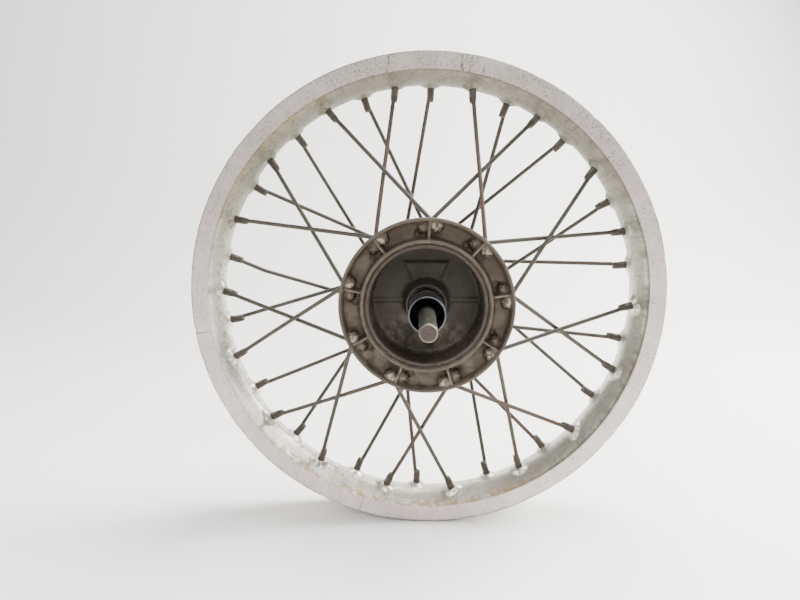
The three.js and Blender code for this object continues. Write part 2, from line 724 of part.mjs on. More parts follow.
function spokedWheel() {
  const wheel = new THREE.Group();
  wheel.add(rim(), hubShell(), brakeDrumLiner(), spokeParts());
  wheel.add(bearing("drum_side", DRUM_BEARING_Y), bearing("sprocket_side", SPROCKET_BEARING_Y));
  wheel.add(circlip(), oilSeal());
  wheel.add(axle(), axleSleeve(), bearingSpacerTube());
  wheel.add(sprocketSideCollar(), axleWasher(), axleNut());
  wheel.position.y = WHEEL_CENTRE_Y;
  return wheel;
}

export default spokedWheel();
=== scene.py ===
"""Looks for a used motorcycle wheel: alloy rim, wire spokes, cast hub with a drum brake, and axle.

Lengths in this file are millimetres from the wheel's centre, which is where the axle's line meets the
rim's middle plane, until a mesh is made, which is in metres in the CAD's frame. The axle lies along Y,
with the brake drum towards -Y. Angles round it are degrees from +Z towards +X.
"""

import math
import random

import bpy
import numpy as np
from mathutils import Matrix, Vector, noise


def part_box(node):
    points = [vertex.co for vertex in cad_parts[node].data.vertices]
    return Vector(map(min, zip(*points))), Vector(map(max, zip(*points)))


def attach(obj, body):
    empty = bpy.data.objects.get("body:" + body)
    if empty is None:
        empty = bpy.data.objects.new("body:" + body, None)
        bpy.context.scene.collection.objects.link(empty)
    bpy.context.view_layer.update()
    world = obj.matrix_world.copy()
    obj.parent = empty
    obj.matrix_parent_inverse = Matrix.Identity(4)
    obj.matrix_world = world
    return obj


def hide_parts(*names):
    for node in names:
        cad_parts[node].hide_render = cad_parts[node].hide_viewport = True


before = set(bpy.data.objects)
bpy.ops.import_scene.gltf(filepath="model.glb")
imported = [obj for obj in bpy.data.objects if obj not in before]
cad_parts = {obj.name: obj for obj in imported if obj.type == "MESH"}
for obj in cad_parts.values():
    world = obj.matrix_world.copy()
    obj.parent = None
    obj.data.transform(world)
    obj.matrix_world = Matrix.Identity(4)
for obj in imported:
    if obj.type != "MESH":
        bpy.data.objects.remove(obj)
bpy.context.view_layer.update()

MM = 0.001


# ---------- What the CAD says ----------

CENTRE = (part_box("rim")[0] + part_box("rim")[1]) / 2 / MM


def node_points(node):
    """A CAD node's vertices in millimetres."""
    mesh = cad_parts[node].data
    points = np.zeros(len(mesh.vertices) * 3)
    mesh.vertices.foreach_get("co", points)
    return points.reshape(-1, 3) / MM - np.array(CENTRE)


def low(node):
    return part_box(node)[0] / MM - CENTRE


def high(node):
    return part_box(node)[1] / MM - CENTRE


SPOKE_NODES = sorted(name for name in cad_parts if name.startswith("spoke_with_nipple"))
RIM_RADIUS = high("rim").z
RIM_HALF_WIDTH = high("rim").y
FLANGE_RADIUS = high("hub_shell").z
FLANGE_FRONT = low("hub_shell").y
NOSE_Y = high("hub_shell").y
LINER_FRONT, LINER_REAR = low("brake_drum_liner").y, high("brake_drum_liner").y
AXLE_FRONT, AXLE_REAR = low("axle").y, high("axle").y
SLEEVE_FRONT, SLEEVE_REAR = low("axle_sleeve").y, high("axle_sleeve").y
WIRE_RADIUS = 2.1
NIPPLE_HEAD_HEIGHT = 3.4
SPOKE_HEAD_HEIGHT = 2.2


def unit(vector):
    return vector / np.linalg.norm(vector)


def spoke_axis(node):
    """Where a CAD spoke runs: the tip of its nipple, its direction towards the hub, and its nipple's length."""
    points = node_points(node)
    tip = points[np.argmax(np.hypot(points[:, 0], points[:, 2]))]
    near = points[np.linalg.norm(points - tip, axis=1) < 32]
    foot = near[np.linalg.norm(near - tip, axis=1) > 15]
    inward = unit(foot.mean(axis=0) - tip)
    length = float(((near - tip) @ inward).max())
    return tip, inward, length


def pin_of(node):
    """The bent end of a sprocket-side spoke: its centre line's x and z, and y at the head and at the elbow."""
    points = node_points(node)
    end = points[np.hypot(points[:, 0], points[:, 2]) < 90]
    span = end[:, 1].max() - end[:, 1].min()
    low_end = end[end[:, 1] < end[:, 1].min() + 0.05]
    high_end = end[end[:, 1] > end[:, 1].max() - 0.05]
    width = [np.ptp(side[:, 0]) + np.ptp(side[:, 2]) for side in (low_end, high_end)]
    head, foot = (low_end, high_end) if width[0] > width[1] else (high_end, low_end)
    centre = (head.max(axis=0) + head.min(axis=0)) / 2
    outward = 1.0 if head is high_end else -1.0
    elbow = foot[0, 1] + outward * WIRE_RADIUS
    assert span > 5, node
    return centre, outward, elbow


# ---------- Mesh helpers ----------


def mesh_piece(name, points, faces, material, smooth=True):
    """A mesh object from points in millimetres."""
    mesh = bpy.data.meshes.new(name)
    mesh.from_pydata(((np.asarray(points) + np.array(CENTRE)) * MM).tolist(), [], faces)
    mesh.validate()
    mesh.shade_smooth() if smooth else mesh.shade_flat()
    piece = bpy.data.objects.new(name, mesh)
    bpy.context.scene.collection.objects.link(piece)
    if material is not None:
        mesh.materials.append(material)
    return piece


def grid_faces(rings, around, wrap_rings, offset=0):
    """Quads between rings of points, each ring closed on itself."""
    last = rings if wrap_rings else rings - 1
    faces = []
    for ring in range(last):
        here = offset + ring * around
        there = offset + (ring + 1) % rings * around
        for step in range(around):
            after = (step + 1) % around
            faces.append((here + step, here + after, there + after, there + step))
    return faces


def lathe(outline, segments):
    """Points and faces of a turned piece from [radius, y] points, with the solid on the left of the path."""
    closed = outline[0][0] > 0
    rings = [point for point in outline if point[0] > 0]
    angles = np.arange(segments) * 2 * math.pi / segments
    radius = np.array([point[0] for point in rings])[:, None]
    y = np.array([point[1] for point in rings])[:, None] * np.ones((1, segments))
    points = np.stack([radius * np.sin(angles), y, radius * np.cos(angles)], axis=-1).reshape(-1, 3)
    faces = grid_faces(len(rings), segments, closed)
    if closed:
        return points, faces
    ends = [[0, outline[0][1], 0], [0, outline[-1][1], 0]]
    first, last = len(points), len(points) + 1
    start = (len(rings) - 1) * segments
    for step in range(segments):
        after = (step + 1) % segments
        faces.append((first, after, step))
        faces.append((last, start + step, start + after))
    return np.vstack([points, ends]), faces


def rounded(outline, radius, steps=4):
    """The outline with each corner turned into a small curve, for worn or cast edges."""
    closed = outline[0][0] > 0
    count = len(outline)
    result = []
    for index, corner in enumerate(outline):
        if not closed and index in (0, count - 1):
            result.append(tuple(corner))
            continue
        here = np.array(corner, float)
        before = np.array(outline[index - 1], float) - here
        after = np.array(outline[(index + 1) % count], float) - here
        reach = min(radius, 0.45 * np.linalg.norm(before), 0.45 * np.linalg.norm(after))
        start, end = here + unit(before) * reach, here + unit(after) * reach
        for step in range(steps + 1):
            t = step / steps
            point = (1 - t) ** 2 * start + 2 * t * (1 - t) * here + t**2 * end
            result.append((float(point[0]), float(point[1])))
    return result


def dense(outline, longest):
    """The outline with extra points, so that no stretch of it is longer than a given length."""
    closed = outline[0][0] > 0
    result = []
    pairs = list(zip(outline, outline[1:] + outline[:1])) if closed else list(zip(outline, outline[1:]))
    for start, end in pairs:
        parts = max(1, math.ceil(math.dist(start, end) / longest))
        for part in range(parts):
            t = part / parts
            result.append((start[0] + (end[0] - start[0]) * t, start[1] + (end[1] - start[1]) * t))
    return result if closed else result + [outline[-1]]


def curve_through(points, steps):
    """A smooth curve through [radius, y] points."""
    points = np.array(points, float)
    padded = np.vstack([2 * points[0] - points[1], points, 2 * points[-1] - points[-2]])
    result = []
    for a, b, c, d in zip(padded, padded[1:], padded[2:], padded[3:]):
        for step in range(steps):
            t = step / steps
            bend = (2 * a - 5 * b + 4 * c - d) * t**2 + (3 * b - 3 * c + d - a) * t**3
            result.append(tuple(0.5 * (2 * b + (c - a) * t + bend)))
    return result + [tuple(points[-1])]


def side_frames(path):
    """Two directions square to the path at each of its points, without twist."""
    tangents = [unit(b - a) for a, b in zip(path, path[1:])]
    tangents = [tangents[0]] + [unit(a + b) for a, b in zip(tangents, tangents[1:])] + [tangents[-1]]
    start = np.cross(tangents[0], [0, 1, 0])
    if np.linalg.norm(start) < 0.2:
        start = np.cross(tangents[0], [1, 0, 0])
    side = unit(start)
    frames = []
    for tangent in tangents:
        side = unit(side - tangent * (side @ tangent))
        frames.append((side, np.cross(tangent, side)))
    return frames


def sweep(path, radii, sides, squareness=None):
    """Points and faces of a solid drawn along a path. squareness turns a ring's round section square."""
    path = [np.array(point, float) for point in path]
    squareness = squareness or [0] * len(path)
    angles = np.arange(sides) * 2 * math.pi / sides
    shape = (np.abs(np.cos(angles)) ** 6 + np.abs(np.sin(angles)) ** 6) ** (-1 / 6)
    points = []
    for centre, radius, square, (side, up) in zip(path, radii, squareness, side_frames(path)):
        reach = radius * (1 + square * (shape - 1))
        points.extend(centre + r * (side * math.cos(a) + up * math.sin(a)) for r, a in zip(reach, angles))
    faces = grid_faces(len(path), sides, False)
    first, last = len(points), len(points) + 1
    start = (len(path) - 1) * sides
    points += [path[0], path[-1]]
    for step in range(sides):
        after = (step + 1) % sides
        faces.append((first, after, step))
        faces.append((last, start + step, start + after))
    return np.array(points), faces


def gathered(solids):
    """Several solids' points and faces as one."""
    points, faces, count = [], [], 0
    for some_points, some_faces in solids:
        points.append(some_points)
        faces.extend(tuple(index + count for index in face) for face in some_faces)
        count += len(some_points)
    return np.vstack(points), faces


def applied(piece):
    """The piece with its modifiers made part of its mesh."""
    graph = bpy.context.evaluated_depsgraph_get()
    mesh = bpy.data.meshes.new_from_object(piece.evaluated_get(graph))
    piece.modifiers.clear()
    piece.data = mesh
    return piece


def placed(piece, body, slot, *nodes):
    """The piece on its CAD body, standing for its CAD nodes."""
    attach(piece, body)
    if nodes:
        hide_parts(*nodes)
    return piece


# ---------- Materials ----------


def linear(red, green, blue):
    """A colour given as 0 to 255 per channel, as the linear values that shaders take."""
    values = [channel / 255 for channel in (red, green, blue)]
    return tuple(v / 12.92 if v <= 0.04045 else ((v + 0.055) / 1.055) ** 2.4 for v in values) + (1.0,)


class Finish:
    """A material's nodes, with short calls for the kinds used in this file."""

    def __init__(self, name):
        self.material = bpy.data.materials.new(name)
        self.material.use_nodes = True
        self.tree = self.material.node_tree
        self.shader = self.tree.nodes["Principled BSDF"]
        shift = self.node("ShaderNodeVectorMath", operation="SUBTRACT")
        self.put(shift.inputs[0], self.node("ShaderNodeTexCoord").outputs["Object"])
        self.put(shift.inputs[1], CENTRE * MM)
        self.place = shift.outputs["Vector"]

    def node(self, kind, **settings):
        made = self.tree.nodes.new(kind)
        for key, value in settings.items():
            setattr(made, key, value)
        return made

    def put(self, socket, value):
        if isinstance(value, bpy.types.NodeSocket):
            self.tree.links.new(value, socket)
        else:
            socket.default_value = value

    def maths(self, operation, *values, clamp=False):
        made = self.node("ShaderNodeMath", operation=operation, use_clamp=clamp)
        for socket, value in zip(made.inputs, values):
            self.put(socket, value)
        return made.outputs[0]

    def add(self, a, b):
        return self.maths("ADD", a, b)

    def times(self, a, b):
        return self.maths("MULTIPLY", a, b, clamp=True)

    def either(self, a, b):
        return self.maths("MAXIMUM", a, b)

    def without(self, a, b):
        return self.maths("MULTIPLY", a, self.maths("SUBTRACT", 1.0, b, clamp=True), clamp=True)

    def split(self, vector):
        made = self.node("ShaderNodeSeparateXYZ")
        self.put(made.inputs[0], vector)
        return made.outputs[0], made.outputs[1], made.outputs[2]

    def join(self, x, y, z):
        made = self.node("ShaderNodeCombineXYZ")
        for socket, value in zip(made.inputs, (x, y, z)):
            self.put(socket, value)
        return made.outputs[0]

    def noise(self, size, detail=3.0, rough=0.55, place=None, seed=0.0):
        """Cloudy noise from 0 to 1 whose features are about size millimetres across."""
        made = self.node("ShaderNodeTexNoise", noise_dimensions="4D")
        self.put(made.inputs["Vector"], place or self.place)
        self.put(made.inputs["W"], seed)
        self.put(made.inputs["Scale"], 1 / (size * MM))
        self.put(made.inputs["Detail"], detail)
        self.put(made.inputs["Roughness"], rough)
        return made.outputs["Fac"]

    def ramp(self, value, start, end):
        """0 up to start and 1 from end, smooth between. start may be the larger one."""
        made = self.node("ShaderNodeMapRange", interpolation_type="SMOOTHSTEP")
        self.put(made.inputs["Value"], value)
        if start <= end:
            bounds = (start, end, 0.0, 1.0)
        else:
            bounds = (end, start, 1.0, 0.0)
        for key, bound in zip(("From Min", "From Max", "To Min", "To Max"), bounds):
            self.put(made.inputs[key], bound)
        return made.outputs["Result"]

    def patches(self, size, start, end, **settings):
        """Patches of 1 on 0 where noise rises above a level."""
        return self.ramp(self.noise(size, **settings), start, end)

    def blend(self, share, first, second):
        made = self.node("ShaderNodeMix", data_type="RGBA")
        self.put(made.inputs["Factor"], share)
        self.put(made.inputs["A"], first)
        self.put(made.inputs["B"], second)
        return made.outputs["Result"]

    def level(self, share, first, second):
        """A number that goes from first to second with share."""
        made = self.node("ShaderNodeMix", data_type="FLOAT")
        self.put(made.inputs["Factor"], share)
        self.put(made.inputs["A"], first)
        self.put(made.inputs["B"], second)
        return made.outputs["Result"]

    def edges(self, start, end):
        """1 on convex edges when start < end, and in crevices when the values fall below a half."""
        geometry = self.node("ShaderNodeNewGeometry")
        return self.ramp(geometry.outputs["Pointiness"], start, end)

    def bump(self, height, depth, before=None):
        """Small relief from a 0 to 1 height, with depth in millimetres."""
        made = self.node("ShaderNodeBump")
        self.put(made.inputs["Distance"], depth * MM)
        self.put(made.inputs["Strength"], 1.0)
        self.put(made.inputs["Height"], height)
        if before is not None:
            self.put(made.inputs["Normal"], before)
        return made.outputs["Normal"]

    def finish(self, color, roughness, metallic, normal=None, coat=0.0, coat_roughness=0.1):
        values = {
            "Base Color": color,
            "Roughness": roughness,
            "Metallic": metallic,
            "Coat Weight": coat,
            "Coat Roughness": coat_roughness,
        }
        for key, value in values.items():
            self.put(self.shader.inputs[key], value)
        if normal is not None:
            self.put(self.shader.inputs["Normal"], normal)
        return self.material


class WheelPlace:
    """Where a shaded point lies on the wheel: its radius and y in millimetres, and its direction from the axle."""

    def __init__(self, net):
        self.net = net
        x, y, z = net.split(net.place)
        reach = net.node("ShaderNodeVectorMath", operation="LENGTH")
        net.put(reach.inputs[0], net.join(x, 0.0, z))
        metres = reach.outputs["Value"]
        self.radius = net.maths("DIVIDE", metres, MM)
        self.y = net.maths("DIVIDE", y, MM)
        self.right = net.maths("DIVIDE", x, metres)
        self.up = net.maths("DIVIDE", z, metres)

    def near_angle(self, angle, half_width, soft):
        """1 within half_width degrees of an angle, fading over soft degrees more."""
        a = math.radians(angle)
        dot = self.net.add(
            self.net.maths("MULTIPLY", self.right, math.sin(a)),
            self.net.maths("MULTIPLY", self.up, math.cos(a)),
        )
        outer = math.cos(math.radians(half_width + soft))
        return self.net.ramp(dot, outer, math.cos(math.radians(half_width)))

    def streaks(self, radius, across):
        """Coordinates in which noise is drawn out along the section by the factor across."""
        scaled = self.net.maths("MULTIPLY", self.net.add(self.y, self.radius), across * MM)
        return self.net.join(
            self.net.maths("MULTIPLY", self.right, radius * MM),
            scaled,
            self.net.maths("MULTIPLY", self.up, radius * MM),
        )

    def rings(self, across):
        """Coordinates in which noise is drawn out round the axle, as turning marks are."""
        return self.net.join(
            self.net.maths("MULTIPLY", self.right, across * MM),
            self.net.maths("MULTIPLY", self.add_radius_and_y(), MM),
            self.net.maths("MULTIPLY", self.up, across * MM),
        )

    def add_radius_and_y(self):
        return self.net.add(self.radius, self.y)


SIDE_BAND_COLOR = linear(204, 192, 188)
# The side band's colour towards the top of the rim: partly dirt, partly painted shade.
SIDE_BAND_TOP_SHADE_AND_DIRT = linear(166, 158, 150)
SLOPE_COLOR = linear(206, 204, 192)
# The slope's colour towards the top of the rim: partly dirt, partly painted shade.
SLOPE_TOP_SHADE_AND_DIRT = linear(92, 89, 72)
OLIVE_DIRT = linear(84, 79, 58)
GREEN_SPECK = linear(62, 60, 44)
TAN_STAIN = linear(150, 124, 80)
DARK_PIT = linear(44, 38, 32)


def rim_finish():
    """Weathered alloy: a pinkish side band with pits and scribed lines, and a smoother stained slope. Both are darker
    towards the top, partly from dirt and partly as painted shade.
    """
    net = Finish("worn_rim_aluminium")
    at = WheelPlace(net)
    side = net.maths("ABSOLUTE", at.y)
    on_band = net.times(net.ramp(side, 27.2, 27.8), net.ramp(at.radius, 224.6, 225.6))
    on_slope = net.maths("SUBTRACT", 1.0, on_band, clamp=True)
    upper = at.near_angle(356, 42, 58)
    lower_left = at.near_angle(222, 40, 45)
    mottle = net.noise(3.2, detail=5, rough=0.65, seed=13)
    clouds = net.noise(26, detail=4, seed=1)
    # Towards the top, the slope and the band are painted darker: partly dirt, partly painted shade.
    slope = net.blend(net.times(upper, 0.92), SLOPE_COLOR, SLOPE_TOP_SHADE_AND_DIRT)
    band = net.blend(net.times(upper, 0.75), SIDE_BAND_COLOR, SIDE_BAND_TOP_SHADE_AND_DIRT)
    color = net.blend(on_band, slope, band)
    color = net.blend(net.times(net.ramp(clouds, 0.35, 0.7), 0.3), color, linear(150, 143, 128))
    color = net.blend(net.times(net.ramp(mottle, 0.42, 0.66), 0.34), color, linear(142, 134, 122))
    drawn = at.streaks(225, 0.12)
    dirt = net.times(net.patches(5, 0.5, 0.72, place=drawn, seed=2), net.patches(38, 0.42, 0.62, seed=3))
    color = net.blend(net.times(net.times(dirt, on_slope), 0.5), color, OLIVE_DIRT)
    near_step = net.times(net.ramp(at.radius, 219.5, 224.2), on_slope)
    grime = net.times(near_step, net.patches(9, 0.38, 0.62, place=at.streaks(225, 0.4), seed=4))
    color = net.blend(net.times(net.without(grime, lower_left), 0.75), color, OLIVE_DIRT)
    step_line = net.times(net.ramp(at.radius, 223.6, 224.5), net.ramp(at.radius, 225.9, 225.1))
    color = net.blend(net.times(net.without(step_line, lower_left), 0.6), color, OLIVE_DIRT)
    stain_zone = net.either(at.near_angle(190, 32, 14), net.times(at.near_angle(312, 14, 14), 0.7))
    stain = net.times(net.times(stain_zone, near_step), net.patches(7, 0.42, 0.58, seed=5))
    color = net.blend(net.times(stain, 0.8), color, TAN_STAIN)
    green_zone = net.times(at.near_angle(245, 42, 20), net.patches(13, 0.44, 0.6, seed=14))
    green = net.times(net.times(green_zone, on_slope), net.patches(4, 0.44, 0.62, detail=5, seed=15))
    green = net.times(green, net.ramp(at.radius, 221.5, 217.5))
    color = net.blend(net.times(green, 0.7), color, linear(96, 90, 58))
    speck_zone = net.either(net.times(upper, net.patches(20, 0.38, 0.56, seed=16)), net.ramp(at.radius, 239.5, 241.5))
    speckle = net.times(net.patches(2.0, 0.51, 0.6, detail=5, rough=0.75, seed=17), speck_zone)
    color = net.blend(net.times(speckle, 0.72), color, GREEN_SPECK)
    radial = net.patches(2.4, 0.6, 0.68, place=at.streaks(225, 0.16), seed=18)
    radial = net.times(net.times(radial, at.near_angle(355, 16, 14)), on_band)
    color = net.blend(net.times(radial, 0.65), color, DARK_PIT)
    pits = net.patches(1.6, 0.61, 0.68, detail=2, seed=6)
    pits = net.times(pits, net.patches(18, 0.44, 0.6, seed=7))
    color = net.blend(net.times(pits, 0.85), color, DARK_PIT)
    specks = net.times(net.patches(2.6, 0.62, 0.69, detail=2, seed=8), at.near_angle(245, 60, 25))
    specks = net.times(specks, on_slope)
    color = net.blend(net.times(specks, 0.75), color, linear(92, 80, 52))
    scribes = net.either(at.near_angle(261.5, 0.1, 0.12), at.near_angle(197.3, 0.06, 0.1))
    scribes = net.either(scribes, at.near_angle(10.6, 0.05, 0.1))
    scribes = net.times(net.times(scribes, on_band), net.patches(5, 0.4, 0.5, seed=9))
    color = net.blend(net.times(scribes, 0.6), color, DARK_PIT)
    outer_line = net.times(net.ramp(at.radius, 240.9, 241.6), net.patches(12, 0.3, 0.5, seed=10))
    color = net.blend(net.times(outer_line, 0.85), color, linear(66, 60, 46))
    scratches = net.noise(0.9, detail=2, place=at.rings(30), seed=11)
    marks = net.either(net.either(dirt, pits), speckle)
    roughness = net.add(net.level(on_band, 0.25, 0.46), net.maths("MULTIPLY", marks, 0.25))
    roughness = net.add(roughness, net.maths("MULTIPLY", scratches, 0.12))
    roughness = net.add(roughness, net.maths("MULTIPLY", upper, 0.15))
    dull = net.either(net.either(stain, grime), net.either(pits, net.either(green, speckle)))
    shaded = net.maths("MULTIPLY", net.times(upper, on_slope), 0.6)
    plain = net.maths("SUBTRACT", net.level(on_band, 0.88, 0.6), shaded)
    metallic = net.level(net.maths("MULTIPLY", dull, 0.6), plain, 0.15)
    height = net.maths("SUBTRACT", net.maths("MULTIPLY", scratches, 0.25), net.either(pits, speckle))
    height = net.maths("MULTIPLY", height, net.level(on_band, 0.15, 1.0))
    waves = net.bump(net.noise(22, detail=0, seed=12), 0.08)
    normal = net.bump(height, 0.12, waves)
    return net.finish(color, roughness, metallic, normal)


RIB_ANGLES = [2 + 40 * index for index in range(9)]
CAST_COLOR = linear(92, 84, 70)
CAST_DIRT = linear(46, 38, 31)
# A light tone for rubbed edges, and for the painted highlight on the spoke bosses' tops.
CAST_WEAR_AND_HIGHLIGHT = linear(176, 168, 150)
CAST_DUST = linear(132, 122, 106)


def casting_finish():
    """Sand-cast aluminium, dirty in its hollows and rubbed brighter on its edges, with a painted highlight on the
    tops of the spoke bosses.
    """
    net = Finish("dirty_cast_hub")
    at = WheelPlace(net)
    mottle = net.noise(14, detail=6, rough=0.62, seed=21)
    color = net.blend(net.ramp(mottle, 0.35, 0.68), linear(76, 66, 55), CAST_COLOR)
    inside = net.times(net.ramp(at.radius, 60.0, 58.0), net.ramp(at.y, -20.0, -24.0))
    color = net.blend(net.times(inside, 0.72), color, linear(38, 36, 30))
    channel = net.times(
        net.times(net.ramp(at.radius, 63.5, 65.5), net.ramp(at.radius, 81.5, 80.0)),
        net.ramp(at.y, -50.0, -55.0),
    )
    color = net.blend(net.times(channel, net.patches(11, 0.35, 0.62, detail=5, seed=22)), color, linear(70, 58, 48))
    low_dust = net.times(at.near_angle(185, 38, 30), net.patches(9, 0.38, 0.6, seed=23))
    color = net.blend(net.times(low_dust, 0.42), color, CAST_DUST)
    faces = net.ramp(at.y, -73.0, -74.2)
    color = net.blend(net.times(faces, net.level(at.near_angle(185, 60, 50), 0.5, 0.78)), color, linear(62, 56, 46))
    outside = net.times(net.ramp(at.y, -60.0, -54.0), net.ramp(at.radius, 19.0, 21.0))
    color = net.blend(net.times(net.without(outside, inside), 0.55), color, linear(54, 49, 42))
    hollow = net.ramp(net.node("ShaderNodeNewGeometry").outputs["Pointiness"], 0.5, 0.43)
    color = net.blend(net.times(hollow, net.level(inside, 0.8, 0.14)), color, CAST_DIRT)
    rubbed = net.times(net.edges(0.515, 0.57), net.patches(6, 0.35, 0.6, seed=24))
    color = net.blend(net.times(rubbed, net.level(inside, 0.26, 0.1)), color, CAST_WEAR_AND_HIGHLIGHT)
    # A painted highlight on the tops of the spoke bosses in the channel, between the ribs, where light from above
    # falls on them.
    crest = net.times(net.ramp(at.y, -68.0, -70.4), net.times(net.ramp(at.radius, 68, 71), net.ramp(at.radius, 80, 78.5)))
    for angle in RIB_ANGLES:
        crest = net.without(crest, at.near_angle(angle, 1.6, 0.8))
    crest = net.times(crest, net.patches(4, 0.44, 0.58, seed=28))
    color = net.blend(net.times(crest, 0.5), color, CAST_WEAR_AND_HIGHLIGHT)
    specks = net.patches(2.2, 0.64, 0.72, detail=3, seed=25)
    color = net.blend(net.times(specks, 0.5), color, CAST_DIRT)
    wear_and_highlight = net.either(rubbed, crest)
    roughness = net.level(wear_and_highlight, 0.62, 0.4)
    metallic = net.level(wear_and_highlight, 0.35, 0.7)
    grain = net.noise(1.3, detail=4, rough=0.6, seed=26)
    normal = net.bump(grain, 0.22, net.bump(net.noise(7, detail=5, seed=27), 0.5))
    return net.finish(color, roughness, metallic, normal)


def rust_finish(name, clean, rusty, amount, metal=0.7, grain=1.0):
    """Steel or iron under a film of rust. amount from 0 to 1 is how much of it the rust covers."""
    net = Finish(name)
    at = WheelPlace(net)
    cover = net.patches(6 * grain, 0.72 - 0.5 * amount, 0.86 - 0.5 * amount, detail=6, rough=0.65, seed=31)
    fine = net.noise(0.8 * grain, detail=4, seed=32)
    tone = net.blend(net.ramp(fine, 0.35, 0.65), rusty, tuple(0.55 * v for v in rusty[:3]) + (1.0,))
    color = net.blend(cover, net.blend(net.ramp(fine, 0.3, 0.8), clean, tuple(0.7 * v for v in clean[:3]) + (1.0,)), tone)
    turning = net.noise(0.5, detail=2, place=at.rings(20), seed=33)
    roughness = net.level(cover, net.add(0.32, net.maths("MULTIPLY", turning, 0.15)), 0.8)
    normal = net.bump(turning, 0.04, net.bump(net.times(cover, fine), 0.12))
    return net.finish(color, roughness, net.level(cover, metal, 0.1), normal)


def spoke_finish():
    """Dull plated wire. The spoke's own rust value says how far the rust has come."""
    net = Finish("dull_spoke_steel")
    rust = net.node("ShaderNodeAttribute", attribute_type="OBJECT", attribute_name="rust").outputs["Fac"]
    patchy = net.noise(16, detail=5, rough=0.65, seed=41)
    cover = net.ramp(net.add(patchy, net.maths("MULTIPLY", rust, 0.26)), 0.56, 0.8)
    fine = net.noise(0.9, detail=4, seed=42)
    steel = net.blend(net.ramp(fine, 0.3, 0.7), linear(76, 72, 63), linear(54, 50, 43))
    brown = net.blend(net.ramp(fine, 0.35, 0.7), linear(86, 64, 52), linear(60, 47, 40))
    color = net.blend(cover, steel, brown)
    normal = net.bump(fine, 0.08)
    return net.finish(color, net.level(cover, 0.42, 0.75), net.level(cover, 0.7, 0.15), normal)


def nipple_finish():
    net = Finish("dark_nipple_steel")
    rust = net.node("ShaderNodeAttribute", attribute_type="OBJECT", attribute_name="nipple_rust").outputs["Fac"]
    patchy = net.noise(4, detail=5, rough=0.6, seed=45)
    cover = net.ramp(net.add(patchy, net.maths("MULTIPLY", rust, 0.4)), 0.55, 0.78)
    plain = net.blend(net.ramp(patchy, 0.35, 0.65), linear(64, 59, 52), linear(42, 38, 34))
    brown = net.blend(net.noise(1.0, seed=46), linear(82, 64, 52), linear(52, 43, 38))
    color = net.blend(cover, plain, brown)
    worn = net.times(net.edges(0.52, 0.6), 0.5)
    color = net.blend(worn, color, linear(140, 134, 122))
    return net.finish(color, net.level(cover, 0.45, 0.75), net.level(cover, 0.65, 0.15), net.bump(patchy, 0.15))


def turned_finish(name, color, rough=0.25, metal=1.0):
    """Turned or ground steel, with fine marks round the axle and a few dull patches."""
    net = Finish(name)
    at = WheelPlace(net)
    turning = net.noise(0.35, detail=2, place=at.rings(12), seed=51)
    stain = net.patches(5, 0.5, 0.75, detail=4, seed=52)
    shade = tuple(0.6 * v for v in color[:3]) + (1.0,)
    mixed = net.blend(net.times(stain, 0.6), color, shade)
    roughness = net.add(net.level(stain, rough, rough + 0.25), net.maths("MULTIPLY", turning, 0.1))
    return net.finish(mixed, roughness, metal, net.bump(turning, 0.03))


def axle_finish():
    """Dark oily steel along the rod, and a browner turned face at its ends."""
    net = Finish("oily_axle_steel")
    at = WheelPlace(net)
    fine = net.noise(0.9, detail=4, seed=55)
    smear = net.patches(9, 0.4, 0.7, detail=5, seed=56)
    shaft = net.blend(smear, linear(36, 35, 27), linear(23, 22, 18))
    face = net.blend(net.ramp(fine, 0.3, 0.7), linear(70, 57, 51), linear(46, 38, 34))
    at_face = net.ramp(at.y, AXLE_FRONT + 0.9, AXLE_FRONT + 0.3)
    ring = net.times(net.ramp(at.radius, 5.9, 6.3), net.ramp(at.y, AXLE_FRONT + 1.7, AXLE_FRONT + 1.2))
    color = net.blend(at_face, shaft, face)
    color = net.blend(net.times(ring, 0.45), color, linear(118, 108, 96))
    turning = net.noise(0.5, detail=2, place=at.rings(20), seed=57)
    roughness = net.add(net.level(smear, 0.34, 0.5), net.maths("MULTIPLY", turning, 0.12))
    return net.finish(color, roughness, net.level(at_face, 0.5, 0.3), net.bump(turning, 0.05, net.bump(fine, 0.08)))


def enamel_finish():
    """Glossy black enamel with faint dust and a few fine scratches."""
    net = Finish("glossy_black_enamel")
    at = WheelPlace(net)
    dust = net.patches(10, 0.45, 0.8, detail=5, seed=61)
    color = net.blend(net.times(dust, 0.25), linear(14, 14, 18), linear(60, 56, 52))
    roughness = net.level(dust, 0.06, 0.3)
    normal = net.bump(net.noise(0.6, detail=2, place=at.rings(15), seed=62), 0.015)
    return net.finish(color, roughness, 0.0, normal, coat=0.6, coat_roughness=0.04)


def rubber_finish():
    net = Finish("seal_rubber")
    at = WheelPlace(net)
    grain = net.noise(0.7, detail=4, seed=71)
    dust = net.patches(4, 0.45, 0.75, detail=4, seed=72)
    color = net.blend(net.times(dust, 0.5), linear(30, 29, 28), linear(84, 78, 70))
    normal = net.bump(grain, 0.08, net.bump(net.noise(0.5, place=at.rings(10), seed=73), 0.04))
    return net.finish(color, net.level(dust, 0.6, 0.85), 0.0, normal)


def cage_finish():
    """Pressed brass between the balls: steel where the point lies outside the cage's own section."""
    net = Finish("brass_cage_and_balls")
    at = WheelPlace(net)
    off_pitch = net.maths("ABSOLUTE", net.maths("SUBTRACT", at.radius, 12.45))
    on_ball = net.ramp(off_pitch, 1.0, 1.2)
    color = net.blend(on_ball, linear(170, 142, 78), linear(196, 196, 192))
    stain = net.patches(3, 0.45, 0.7, detail=4, seed=81)
    color = net.blend(net.times(stain, 0.5), color, linear(92, 76, 48))
    return net.finish(color, net.level(stain, 0.2, 0.5), 1.0, net.bump(stain, 0.03))


# ---------- Rim ----------

RIM_SEGMENTS = 720
BED_THICKNESS = 3.2
SEAT_RISE = 2.2


